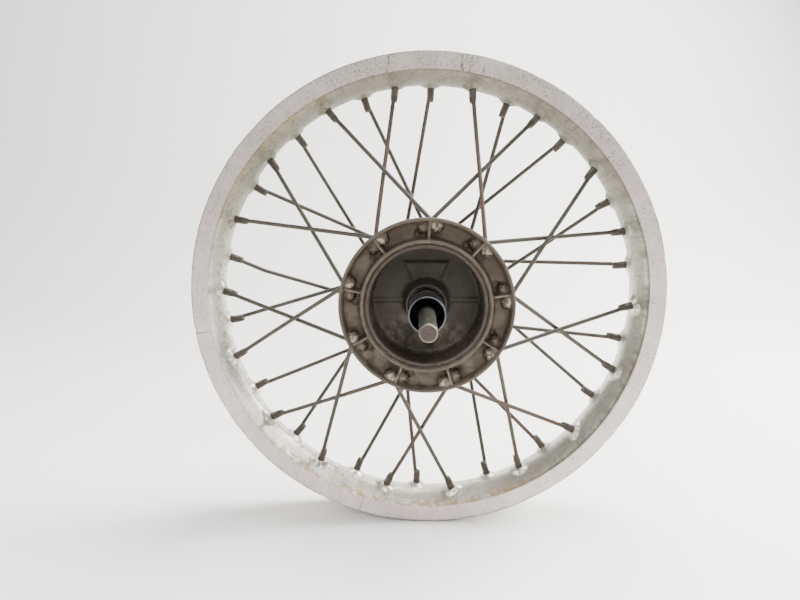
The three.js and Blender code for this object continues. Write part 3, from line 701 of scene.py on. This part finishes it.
def rim_outline():
    """The rim's section: spoke bed, slope, side band, bead seat and well, with its edges worn round."""
    edge = RIM_HALF_WIDTH
    slope = curve_through(
        [
            (215.0, -2),
            (215.3, -5),
            (216.6, -9),
            (218.5, -13),
            (220.6, -17),
            (222.6, -21),
            (224.0, -24.4),
        ],
        4,
    )
    step = [(224.5, -26.2), (224.9, -edge + 0.5), (225.6, -edge)]
    lip = [
        (RIM_RADIUS - 1.6, -edge),
        (RIM_RADIUS - 0.4, -edge + 0.5),
        (RIM_RADIUS, -edge + 1.6),
        (RIM_RADIUS, -edge + 3.2),
        (RIM_RADIUS - 0.7, -edge + 4.3),
        (RIM_RADIUS - 2.2, -edge + 4.6),
    ]
    seat = [
        (231.0, -edge + 4.8),
        (229.1, -edge + 5.6),
        (228.5, -edge + 7.2),
        (227.9, -edge + 11.4),
        (226.4, -edge + 12.6),
    ]
    well = [(219.6, -10.2), (217.9, -8.2), (217.6, -6)]
    half = slope + step + lip + seat + well
    mirrored = [(radius, -y) for radius, y in reversed(half)]
    return dense(half + mirrored, 1.6)


def dimple(points, tip, inward):
    """Presses the bed square to one nipple, as the seat that its head bears on."""
    seat = tip + inward * (NIPPLE_HEAD_HEIGHT + 0.2)
    offset = points - seat
    along = offset @ inward
    away = np.linalg.norm(offset - along[:, None] * inward, axis=1)
    near = (away < 12) & (np.abs(along) < 14)
    share = np.clip((11.5 - away) / 6.0, 0, 1)
    share = share * share * (3 - 2 * share) * near
    tyre_side = along < BED_THICKNESS / 2 - 0.9
    target = np.where(tyre_side, 0.0, BED_THICKNESS + SEAT_RISE)
    return points + (share * (target - along))[:, None] * inward


def roughened(points, size, depth, seed):
    """Points moved by slow noise, so that no surface is perfectly true."""
    shift = Vector((seed, 0, 0))
    moved = [noise.noise_vector(Vector(point) / size + shift) for point in points]
    return points + depth * np.array(moved)


def edge_nicks(points):
    """Small dents where the outer edge has met kerbs and tyre levers."""
    result = points.copy()
    radius = np.hypot(points[:, 0], points[:, 2])
    angle = np.degrees(np.arctan2(points[:, 0], points[:, 2])) % 360
    outer = np.clip((radius - 236) / 6, 0, 1) ** 2
    source = random.Random(7)
    for _ in range(34):
        centre = source.uniform(0, 360)
        width = source.uniform(0.4, 1.5)
        depth = source.uniform(0.15, 0.55)
        away = np.abs((angle - centre + 180) % 360 - 180)
        share = depth * np.clip(1 - away / width, 0, 1) * outer
        result[:, 0] -= share * points[:, 0] / radius
        result[:, 2] -= share * points[:, 2] / radius
    return result


def build_rim(finish):
    points, faces = lathe(rim_outline(), RIM_SEGMENTS)
    radius = np.hypot(points[:, 0], points[:, 2])
    bed = np.flatnonzero((radius < 224) & (np.abs(points[:, 1]) < 19))
    moved = points[bed]
    for node in SPOKE_NODES:
        tip, inward, _ = spoke_axis(node)
        moved = dimple(moved, tip, inward)
    points[bed] = moved
    points = edge_nicks(roughened(points, 45, 0.25, 3))
    piece = mesh_piece("alloy_rim", points, faces, finish)
    return placed(piece, "wheel", "worn_aluminium", "rim")


# ---------- Spokes ----------

SPOKE_SIDES = 16
RUST_BY_SPOKE = {1: 0.75, 2: 0.8, 9: 0.4, 14: 0.7, 15: 0.8, 16: 0.6, 19: 0.7, 20: 0.8, 24: 0.4, 36: 0.7}
NIPPLE_RUST = {5: 0.6, 15: 0.5, 19: 1.0, 20: 0.5, 26: 0.4, 36: 0.6}
NIPPLE_SIDES = 24


def nipple_solid(tip, inward, length):
    """A nipple from its domed head, through a squared waist for the key, to its round collar."""
    rings = [
        (0.0, 1.6, 0.0),
        (0.3, 3.1, 0.0),
        (1.2, 4.6, 0.0),
        (2.4, 5.1, 0.0),
        (3.1, 5.0, 0.0),
        (3.5, 4.15, 0.0),
        (6.0, 4.05, 0.0),
        (length - 13.4, 4.0, 0.1),
        (length - 12.6, 3.72, 0.95),
        (length - 5.6, 3.62, 0.95),
        (length - 5.0, 3.62, 0.2),
        (length - 1.2, 3.3, 0.0),
        (length - 0.5, 2.95, 0.0),
        (length - 0.4, 2.2, 0.0),
    ]
    path = [tip + inward * ring[0] for ring in rings]
    return sweep(path, [ring[1] for ring in rings], NIPPLE_SIDES, [ring[2] for ring in rings])


def rounded_path(corners, radius, steps=6):
    """The path with each inner corner turned into a bend of about the given radius."""
    corners = [np.array(corner, float) for corner in corners]
    path = [corners[0]]
    for before, here, after in zip(corners, corners[1:], corners[2:]):
        back, ahead = unit(before - here), unit(after - here)
        reach = min(radius, 0.45 * np.linalg.norm(before - here), 0.45 * np.linalg.norm(after - here))
        for step in range(steps + 1):
            t = step / steps
            path.append((1 - t) ** 2 * (here + back * reach) + 2 * t * (1 - t) * here + t**2 * (here + ahead * reach))
    return path + [corners[-1]]


def with_wobble(path, seed):
    """The path with extra points and the slight waviness of old wire."""
    result = []
    source = random.Random(seed)
    phase, depth = source.uniform(0, 6), source.uniform(0.05, 0.25)
    for start, end in zip(path, path[1:]):
        parts = max(1, int(np.linalg.norm(end - start) / 8))
        result.extend(start + (end - start) * part / parts for part in range(parts))
    result.append(path[-1])
    total = len(result) - 1
    for index in range(1, total):
        share = index / total
        sag = depth * math.sin(math.pi * share) * math.sin(4 * share + phase)
        result[index] = result[index] + np.array([sag, 0, -sag])
    return result


def headed_wire(path, radius=WIRE_RADIUS):
    """A wire from its upset head, which lies at the start of the path, to its end."""
    direction = unit(path[1] - path[0])
    head = [(0.0, 1.5), (0.12, 2.4), (0.5, 3.3), (1.1, 3.85), (2.0, 3.9), (2.4, 3.4), (3.4, 2.25)]
    centres = [path[0] + direction * along for along, _ in head]
    radii = [width for _, width in head]
    rest = [point for point in path[1:] if np.linalg.norm(point - path[0]) > 4.2]
    return sweep(centres + rest, radii + [radius] * len(rest), SPOKE_SIDES)


def is_drum_side(node):
    return low(node).y < -50


def head_of(node, tip):
    """The far end of a drum-side spoke: the top of its head."""
    points = node_points(node)
    return points[np.argmax(np.linalg.norm(points - tip, axis=1))]


def kink_of(node, tip, inward):
    """The corner of a bent spoke, or None where the spoke is straight."""
    points = node_points(node)
    away = np.linalg.norm(points - tip, axis=1)
    corner = points[(away > 30) & (away < 90)]
    return corner.mean(axis=0) if len(corner) else None


def wire_corners(node, tip, inward):
    """The corners of a spoke's centre line, from its head to just inside its nipple."""
    end = tip + inward * 8
    if is_drum_side(node):
        return [head_of(node, tip), end]
    centre, outward, elbow = pin_of(node)
    pin_end = np.array([centre[0], elbow, centre[2]])
    kink = kink_of(node, tip, inward)
    middle = [] if kink is None else [kink]
    return [centre, pin_end] + middle + [end]


def build_spoke(index, node, wire, dark):
    tip, inward, length = spoke_axis(node)
    corners = wire_corners(node, tip, inward)
    path = with_wobble(rounded_path(corners, 4.5), index)
    nipple = nipple_solid(tip, inward, length)
    shank = headed_wire(path)
    points, faces = gathered([shank, nipple])
    piece = mesh_piece("spoke_and_nipple_%02d" % (index + 1), points, faces, wire)
    piece.data.materials.append(dark)
    on_nipple = [0] * len(shank[1]) + [1] * len(nipple[1])
    piece.data.polygons.foreach_set("material_index", on_nipple)
    piece["rust"] = RUST_BY_SPOKE.get(index + 1, random.Random(index).uniform(0.0, 0.3))
    piece["nipple_rust"] = NIPPLE_RUST.get(index + 1, random.Random(index + 50).uniform(0.0, 0.35))
    return placed(piece, "wheel", "spoke_steel", node)


# ---------- Hub ----------

HUB_SEGMENTS = 240
VOXEL = 0.8


def hub_outline():
    front = FLANGE_FRONT
    outside = [
        (60.2, front + 0.3),
        (63.4, front + 0.3),
        (64.2, -67.0),
        (65.2, -62.6),
        (68.0, -61.6),
        (77.0, -62.2),
        (80.0, -64.2),
        (81.0, front + 0.6),
        (81.8, front),
        (FLANGE_RADIUS - 0.6, front),
        (FLANGE_RADIUS, front + 0.8),
        (FLANGE_RADIUS, -65.4),
        (FLANGE_RADIUS - 2.5, -61.0),
        (FLANGE_RADIUS - 7, -56.6),
        (67.6, -54.6),
        (66.0, -51.0),
        (66.0, -31.0),
        (62.4, -22.2),
        (46.0, -17.5),
        (37.0, -11.0),
        (32.0, -4.0),
        (30.0, 8.0),
        (31.4, 20.0),
        (37.0, 26.5),
        (45.0, 30.0),
        (62.0, 32.3),
        (75.4, 32.3),
        (76.0, 33.4),
        (76.0, 37.2),
        (75.4, 38.3),
        (51.5, 38.3),
        (47.0, 41.0),
        (46.0, 44.5),
        (46.0, 46.7),
        (45.2, 47.5),
        (24.6, 47.5),
        (23.8, 48.4),
        (23.2, NOSE_Y),
    ]
    inside = [
        (17.7, NOSE_Y),
        (17.7, 34.5),
        (14.5, 34.5),
        (14.5, -43.7),
        (17.7, -43.7),
        (17.7, -63.0),
        (19.9, -63.0),
        (20.6, -40.0),
        (23.0, -30.0),
        (26.0, -28.0),
        (53.0, -28.0),
        (55.0, -30.0),
        (55.0, -35.7),
        (59.3, -35.7),
        (59.3, -72.0),
        (60.2, -72.0),
    ]
    return outside + inside


def spoke_bosses(axes):
    """Slanting bosses in the flange's channel, each with a rounded end where a spoke's head sits."""
    rings = [(0.1, 4.7), (0.5, 5.3), (1.2, 5.7), (4, 5.9), (7.5, 6.1), (9.5, 5.0)]
    for seat, outward in axes:
        path = [seat + outward * along for along, _ in rings]
        yield sweep(path, [radius for _, radius in rings], 28)


def bar(corners_low, corners_high):
    """A solid between two quads, each listed in the same order."""
    points = np.array(list(corners_low) + list(corners_high), float)
    faces = [(3, 2, 1, 0), (4, 5, 6, 7), (0, 1, 5, 4), (1, 2, 6, 5), (2, 3, 7, 6), (3, 0, 4, 7)]
    return points, faces


def turned(points, angle):
    a = math.radians(angle)
    x, y, z = points[:, 0], points[:, 1], points[:, 2]
    return np.stack([x * math.cos(a) + z * math.sin(a), y, -x * math.sin(a) + z * math.cos(a)], axis=-1)


def channel_ribs():
    """Thin tapering ribs across the channel."""
    for angle in RIB_ANGLES:
        foot = [(-2.3, -60.5, 62.5), (2.3, -60.5, 62.5), (2.3, -60.5, 82.0), (-2.3, -60.5, 82.0)]
        crest = [(-1.0, -73.0, 62.5), (1.0, -73.0, 62.5), (1.0, -73.0, 82.0), (-1.0, -73.0, 82.0)]
        points, faces = bar(crest, foot)
        yield turned(points, angle), faces


def floor_castings():
    """A tapering pad at the top of the drum's floor, and a rib left and right."""
    y_low, y_high = -30.2, -27.0
    pad = [(-12, 19), (12, 19), (20.5, 38), (-20.5, 38)]
    foot = [(-16, 17), (16, 17), (26.5, 41.5), (-26.5, 41.5)]
    yield bar([(x, y_low, z) for x, z in pad], [(x, y_high, z) for x, z in foot])
    for side in (-1, 1):
        x_low, x_high = sorted((side * 19, side * 54))
        rib = [(x_low, -1.2), (x_high, -1.2), (x_high, 1.2), (x_low, 1.2)]
        yield bar([(x, y_low + 0.3, z) for x, z in rib], [(x, y_high, 3 * z) for x, z in rib])


def seat_axes():
    """For each drum-side spoke, where its head bears on its boss and its direction out to the rim."""
    axes = []
    for node in SPOKE_NODES:
        if is_drum_side(node):
            tip, inward, _ = spoke_axis(node)
            head = head_of(node, tip)
            axes.append((head - inward * SPOKE_HEAD_HEIGHT, -inward))
    return axes


def head_pockets(axes):
    """The room in front of each spoke head."""
    for seat, outward in axes:
        path = [seat + outward * along for along in (-7.5, 0.1)]
        yield sweep(path, [4.5, 4.5], 20)


def bolt_holes():
    """Holes for the sprocket's bolts."""
    for index in range(6):
        a = math.radians(60 * index)
        x, z = 36 * math.sin(a), 36 * math.cos(a)
        yield sweep([(x, 39.5, z), (x, 49.0, z)], [4.0, 4.0], 24)


def far_flange_holes():
    for node in SPOKE_NODES:
        if not is_drum_side(node):
            centre, _, _ = pin_of(node)
            x, z = centre[0], centre[2]
            yield sweep([(x, 31.0, z), (x, 39.5, z)], [WIRE_RADIUS + 0.4] * 2, 12)


def cut(piece, cutters):
    """Takes the cutters' solids out of the piece."""
    points, faces = gathered(list(cutters))
    tool = mesh_piece("cutter", points, faces, None)
    modifier = piece.modifiers.new("cut", "BOOLEAN")
    modifier.operation = "DIFFERENCE"
    modifier.solver = "EXACT"
    modifier.use_self = True
    modifier.object = tool
    applied(piece)
    bpy.data.objects.remove(tool)


def fused(piece, voxel, smooth_steps):
    """The piece's solids grown together with soft inner corners, as in a casting."""
    remesh = piece.modifiers.new("fuse", "REMESH")
    remesh.mode = "VOXEL"
    remesh.voxel_size = voxel * MM
    remesh.use_smooth_shade = True
    applied(piece)
    smooth = piece.modifiers.new("soften", "SMOOTH")
    smooth.factor = 0.5
    smooth.iterations = smooth_steps
    return applied(piece)


def build_hub(finish):
    axes = seat_axes()
    body = lathe(rounded(hub_outline(), 0.7), HUB_SEGMENTS)
    solids = [body, *spoke_bosses(axes), *channel_ribs(), *floor_castings()]
    points, faces = gathered(solids)
    piece = mesh_piece("cast_hub", points, faces, finish)
    cut(piece, [*head_pockets(axes), *bolt_holes(), *far_flange_holes()])
    fused(piece, VOXEL, 3)
    piece.data.materials.clear()
    piece.data.materials.append(finish)
    return placed(piece, "wheel", "dirty_cast_aluminium", "hub_shell")


def turned_piece(name, outline, material, segments=120, softness=0.35):
    points, faces = lathe(rounded(outline, softness), segments)
    return mesh_piece(name, points, faces, material)


def build_liner(finish):
    """The drum's iron ring: a flat front, a friction surface worn hollow, and a ridge at its back."""
    outline = [
        (56.0, LINER_FRONT),
        (58.7, LINER_FRONT),
        (59.0, LINER_FRONT + 0.4),
        (59.0, LINER_REAR),
        (54.9, LINER_REAR),
        (54.9, LINER_REAR - 1.6),
        (55.3, LINER_REAR - 2.4),
        (55.35, LINER_FRONT + 5.0),
        (55.0, LINER_FRONT + 4.2),
        (55.1, LINER_FRONT + 1.0),
    ]
    piece = turned_piece("friction_ring", outline, finish, 240, 0.25)
    return placed(piece, "wheel", "rusty_cast_iron", "brake_drum_liner")


# ---------- Axle and bearings ----------


def build_axle(finish):
    """The axle rod, with a chamfered end, a centre mark and a turned-down thread end at the sprocket side."""
    outline = [
        (0, AXLE_FRONT + 0.7),
        (1.3, AXLE_FRONT),
        (6.3, AXLE_FRONT),
        (7.5, AXLE_FRONT + 1.4),
        (7.5, AXLE_REAR - 22),
    ]
    pitch, depth = 1.25, 0.45
    y = AXLE_REAR - 21.5
    while y < AXLE_REAR - 2.4:
        outline += [(7.5, y), (7.5 - depth, y + pitch / 2)]
        y += pitch
    outline += [(7.2, AXLE_REAR - 1.4), (6.3, AXLE_REAR), (1.3, AXLE_REAR), (0, AXLE_REAR - 0.7)]
    piece = turned_piece("axle_rod", outline, finish, 96, 0.25)
    return placed(piece, "axle_assembly", "rusty_steel", "axle")


def build_sleeve(enamel, bright):
    """The cup-shaped sleeve round the axle, and the bright steel ring at its mouth, whose bluish tone is a painted
    reflection.
    """
    front, back = SLEEVE_FRONT, SLEEVE_REAR
    outline = [
        (15.0, front + 0.1),
        (16.15, front + 0.1),
        (16.2, front + 0.4),
        (16.6, front + 0.4),
        (16.6, back - 7.0),
        (14.6, back - 4.5),
        (11.0, back - 4.0),
        (11.0, back),
        (7.8, back),
        (7.8, back - 8.0),
        (15.0, back - 9.0),
    ]
    sleeve = turned_piece("black_sleeve", outline, enamel, 128, 0.4)
    placed(sleeve, "axle_assembly", "black_enamel", "axle_sleeve")
    # The mouth ring stands for the bright edge of the sleeve; its bluish tone is a painted reflection.
    mouth = [(16.2, front), (16.5, front), (16.6, front + 0.1), (16.6, front + 0.4), (16.2, front + 0.4)]
    ring = turned_piece("sleeve_mouth_edge", mouth, bright, 128, 0.12)
    placed(ring, "axle_assembly", "bearing_steel", "axle_sleeve")


def bearing_middle(side):
    name = side + "_bearing_outer_race"
    return (low(name).y + high(name).y) / 2


def build_races(side, finish):
    """Ground races with a ball groove and chamfered corners."""
    middle = bearing_middle(side)
    outer = [
        (14.6, middle - 5.5),
        (17.5, middle - 5.5),
        (17.5, middle + 5.5),
        (14.6, middle + 5.5),
        (14.6, middle + 2.6),
        (15.2, middle + 1.6),
        (15.4, middle),
        (15.2, middle - 1.6),
        (14.6, middle - 2.6),
    ]
    inner = [
        (7.7, middle - 5.5),
        (10.3, middle - 5.5),
        (10.3, middle - 2.6),
        (9.7, middle - 1.6),
        (9.5, middle),
        (9.7, middle + 1.6),
        (10.3, middle + 2.6),
        (10.3, middle + 5.5),
        (7.7, middle + 5.5),
    ]
    for race, outline, body in (("outer", outer, "wheel"), ("inner", inner, "axle_assembly")):
        node = "%s_bearing_%s_race" % (side, race)
        piece = turned_piece("%s_%s_race_ring" % (side, race), outline, finish, 96, 0.4)
        placed(piece, body, "bearing_steel", node)


def ball_solid(centre, radius, steps=10, sides=20):
    along = [math.cos(math.pi * step / steps) for step in range(steps + 1)]
    path = [np.array(centre) - np.array([0, radius * a, 0]) for a in along]
    radii = [max(0.05, radius * math.sqrt(max(0.0, 1 - a * a))) for a in along]
    return sweep(path, radii, sides)


def build_cage(side, finish):
    """Eight balls between the two halves of a pressed cage, which bulges round each ball."""
    node = side + "_bearing_balls_and_cage"
    middle = (low(node).y + high(node).y) / 2
    angles = [45 * index for index in range(8)]
    places = [(12.45 * math.sin(math.radians(a)), middle, 12.45 * math.cos(math.radians(a))) for a in angles]
    band = [(11.6, middle - 0.9), (13.3, middle - 0.9), (13.3, middle + 0.9), (11.6, middle + 0.9)]
    solids = [ball_solid(place, 2.55) for place in places]
    solids.append(lathe(rounded(band, 0.3), 96))
    for place in places:
        x, y, z = place
        solids.append(sweep([(x, y - 2.0, z), (x, y - 1.6, z), (x, y + 1.6, z), (x, y + 2.0, z)], [1.4, 1.9, 1.9, 1.4], 20))
    points, faces = gathered(solids)
    piece = mesh_piece(side + "_balls_in_cage", points, faces, finish)
    return placed(piece, side + "_balls", "brass_cage", node)


def build_seal(finish):
    """The oil seal: a flat rubber face with a raised rim and a thin lip that runs on the collar."""
    low_y, high_y = low("sprocket_side_oil_seal").y, high("sprocket_side_oil_seal").y
    outline = [
        (12.6, high_y - 1.8),
        (13.2, low_y + 0.6),
        (14.0, low_y),
        (17.5, low_y),
        (17.5, high_y),
        (16.4, high_y),
        (16.0, high_y - 0.7),
        (14.2, high_y - 0.7),
        (13.4, high_y - 0.2),
        (12.7, high_y - 0.9),
    ]
    piece = turned_piece("rubber_oil_seal", outline, finish, 128, 0.25)
    return placed(piece, "wheel", "black_rubber", "sprocket_side_oil_seal")


def build_small_parts(steel):
    collar_low, collar_high = low("sprocket_side_collar").y, high("sprocket_side_collar").y
    collar = [
        (7.8, collar_low),
        (10.3, collar_low),
        (12.2, collar_low + 1.5),
        (12.2, collar_high - 3.2),
        (11.7, collar_high - 2.9),
        (11.7, collar_high - 2.1),
        (12.2, collar_high - 1.8),
        (12.2, collar_high),
        (7.8, collar_high),
    ]
    placed(turned_piece("turned_collar", collar, steel), "axle_assembly", "dull_steel", "sprocket_side_collar")
    low_y, high_y = low("axle_washer").y, high("axle_washer").y
    washer = [(7.8, low_y), (15.0, low_y), (15.0, high_y), (7.8, high_y)]
    placed(turned_piece("flat_washer", washer, steel, 96, 0.5), "axle_assembly", "dull_steel", "axle_washer")
    low_y, high_y = low("bearing_spacer_tube").y, high("bearing_spacer_tube").y
    tube = [(7.8, low_y), (10.0, low_y), (10.0, high_y), (7.8, high_y)]
    placed(turned_piece("spacer_tube", dense(tube, 9), steel), "axle_assembly", "dull_steel", "bearing_spacer_tube")


def build_nut(steel):
    """A hexagon nut with rounded corners on both faces, made from rings of points."""
    low_y, high_y = low("axle_nut").y, high("axle_nut").y
    segments = 144
    angles = np.arange(segments) * 2 * math.pi / segments
    flat = 12 / np.cos((angles + math.pi / 6) % (math.pi / 3) - math.pi / 6)
    levels = [(low_y, 11.4), (low_y + 0.8, 12.6), (low_y + 1.6, 20), (high_y - 1.6, 20), (high_y - 0.8, 12.6), (high_y, 11.4)]
    rings = [(y, np.minimum(flat, limit + 0.0)) for y, limit in levels]
    bore = [(high_y, 8.8), (high_y - 1.0, 7.8), (low_y + 1.0, 7.8), (low_y, 8.8)]
    rings += [(y, np.full(segments, radius)) for y, radius in bore]
    points = [
        (r * math.sin(a), y, r * math.cos(a)) for y, radii in rings for r, a in zip(radii, angles)
    ]
    faces = grid_faces(len(rings), segments, True)
    piece = mesh_piece("hexagon_nut", points, faces, steel)
    return placed(piece, "axle_assembly", "dull_steel", "axle_nut")


def build_circlip(steel):
    """A round-wire look on the flat spring ring: a swept bar with a gap and two ears."""
    low_y, high_y = low("drum_side_circlip").y, high("drum_side_circlip").y
    middle = (low_y + high_y) / 2
    gap = 9
    angles = np.radians(np.linspace(180 + gap, 540 - gap, 120))
    path = [np.array([16.9 * math.sin(a), middle, 16.9 * math.cos(a)]) for a in angles]
    hoop = sweep(path, [0.62] * len(path), 12, [0.6] * len(path))
    ears = []
    for side in (-1, 1):
        a = math.radians(180 + side * (gap + 2))
        x, z = 15.9 * math.sin(a), 15.9 * math.cos(a)
        ears.append(sweep([(x, low_y, z), (x, high_y, z)], [1.6, 1.6], 24))
    points, faces = gathered([hoop, *ears])
    piece = mesh_piece("spring_circlip", points, faces, steel)
    return placed(piece, "wheel", "dull_steel", "drum_side_circlip")


# ---------- Stage ----------

CAMERA_PLACE = (-0.00679, -0.65112, 0.09683)
CAMERA_TURN = (81.139, 0.277, 1.779)
CAMERA_LENS = 27.81


def camera():
    data = bpy.data.cameras.new("camera")
    data.lens = CAMERA_LENS
    data.sensor_width = 36
    data.clip_start = 0.01
    eye = bpy.data.objects.new("camera", data)
    eye.location = Vector(CAMERA_PLACE) + CENTRE * MM
    eye.rotation_euler = [math.radians(turn) for turn in CAMERA_TURN]
    bpy.context.scene.collection.objects.link(eye)
    bpy.context.scene.camera = eye


def floor():
    """A pale floor that curves up into a wall behind the wheel."""
    ground = low("rim").z - 0.4
    net = Finish("pale_floor")
    tone = net.noise(300, detail=3, seed=91)
    color = net.blend(tone, linear(236, 234, 231), linear(240, 239, 237))
    material = net.finish(color, 0.8, 0.0, net.bump(net.noise(4, detail=4, seed=92), 0.05))
    section = [(-4000, 0), (900, 0)]
    bend, steps = 700, 16
    for step in range(1, steps + 1):
        a = math.radians(90 * step / steps)
        section.append((900 + bend * math.sin(a), bend * (1 - math.cos(a))))
    section.append((900 + bend, 4000))
    points = []
    for y, z in section:
        points += [(-4000, y, ground + z), (4000, y, ground + z)]
    faces = [(2 * i, 2 * i + 1, 2 * i + 3, 2 * i + 2) for i in range(len(section) - 1)]
    mesh_piece("floor", points, faces, material)


def lamp(name, place, size, power, color=(1, 1, 1)):
    """A soft square lamp that faces the wheel."""
    data = bpy.data.lights.new(name, "AREA")
    data.size = size
    data.energy = power
    data.color = color
    made = bpy.data.objects.new(name, data)
    made.location = Vector(place) + CENTRE * MM
    made.rotation_euler = (-Vector(place)).to_track_quat("-Z", "Y").to_euler()
    bpy.context.scene.collection.objects.link(made)


def surroundings():
    world = bpy.data.worlds.new("studio")
    world.use_nodes = True
    background = world.node_tree.nodes["Background"]
    background.inputs["Color"].default_value = (0.95, 0.96, 1.0, 1.0)
    nodes, links = world.node_tree.nodes, world.node_tree.links
    height = nodes.new("ShaderNodeSeparateXYZ")
    links.new(nodes.new("ShaderNodeTexCoord").outputs["Generated"], height.inputs[0])
    glow = nodes.new("ShaderNodeMapRange")
    for key, value in (("From Min", 0.0), ("From Max", 0.8), ("To Min", 0.3), ("To Max", 1.15)):
        glow.inputs[key].default_value = value
    links.new(height.outputs["Z"], glow.inputs["Value"])
    seen = nodes.new("ShaderNodeMix")
    links.new(nodes.new("ShaderNodeLightPath").outputs["Is Camera Ray"], seen.inputs["Factor"])
    links.new(glow.outputs["Result"], seen.inputs["A"])
    seen.inputs["B"].default_value = 1.6
    links.new(seen.outputs["Result"], background.inputs["Strength"])
    bpy.context.scene.world = world
    lamp("right_lamp", (1.45, 0.35, 0.95), 1.0, 120, (1.0, 0.99, 0.97))
    lamp("ceiling_lamp", (0.35, 0.3, 1.7), 1.1, 84, (1.0, 0.98, 0.95))
    lamp("front_lamp", (0.3, -2.0, 1.3), 1.3, 34)
    lamp("left_lamp", (-1.7, -0.9, 0.5), 1.0, 14)


# ---------- The whole wheel ----------


def build():
    steel = rust_finish("dull_steel_parts", linear(132, 128, 120), linear(96, 70, 52), 0.25)
    bearing = turned_finish("bearing_steel_ground", linear(190, 190, 186))
    build_rim(rim_finish())
    wire, dark = spoke_finish(), nipple_finish()
    for index, node in enumerate(SPOKE_NODES):
        build_spoke(index, node, wire, dark)
    build_hub(casting_finish())
    build_liner(rust_finish("rusty_friction_ring", linear(56, 51, 45), linear(70, 54, 42), 0.55, metal=0.2))
    build_axle(axle_finish())
    # The mouth ring's bluish tone is a painted reflection on its steel.
    build_sleeve(enamel_finish(), turned_finish("mouth_edge_painted_sheen", linear(124, 130, 144), 0.38))
    for side in ("drum_side", "sprocket_side"):
        build_races(side, bearing)
        build_cage(side, cage_finish() if side == "drum_side" else bpy.data.materials["brass_cage_and_balls"])
    build_seal(rubber_finish())
    build_small_parts(steel)
    build_nut(steel)
    build_circlip(steel)


build()
camera()
floor()
surroundings()
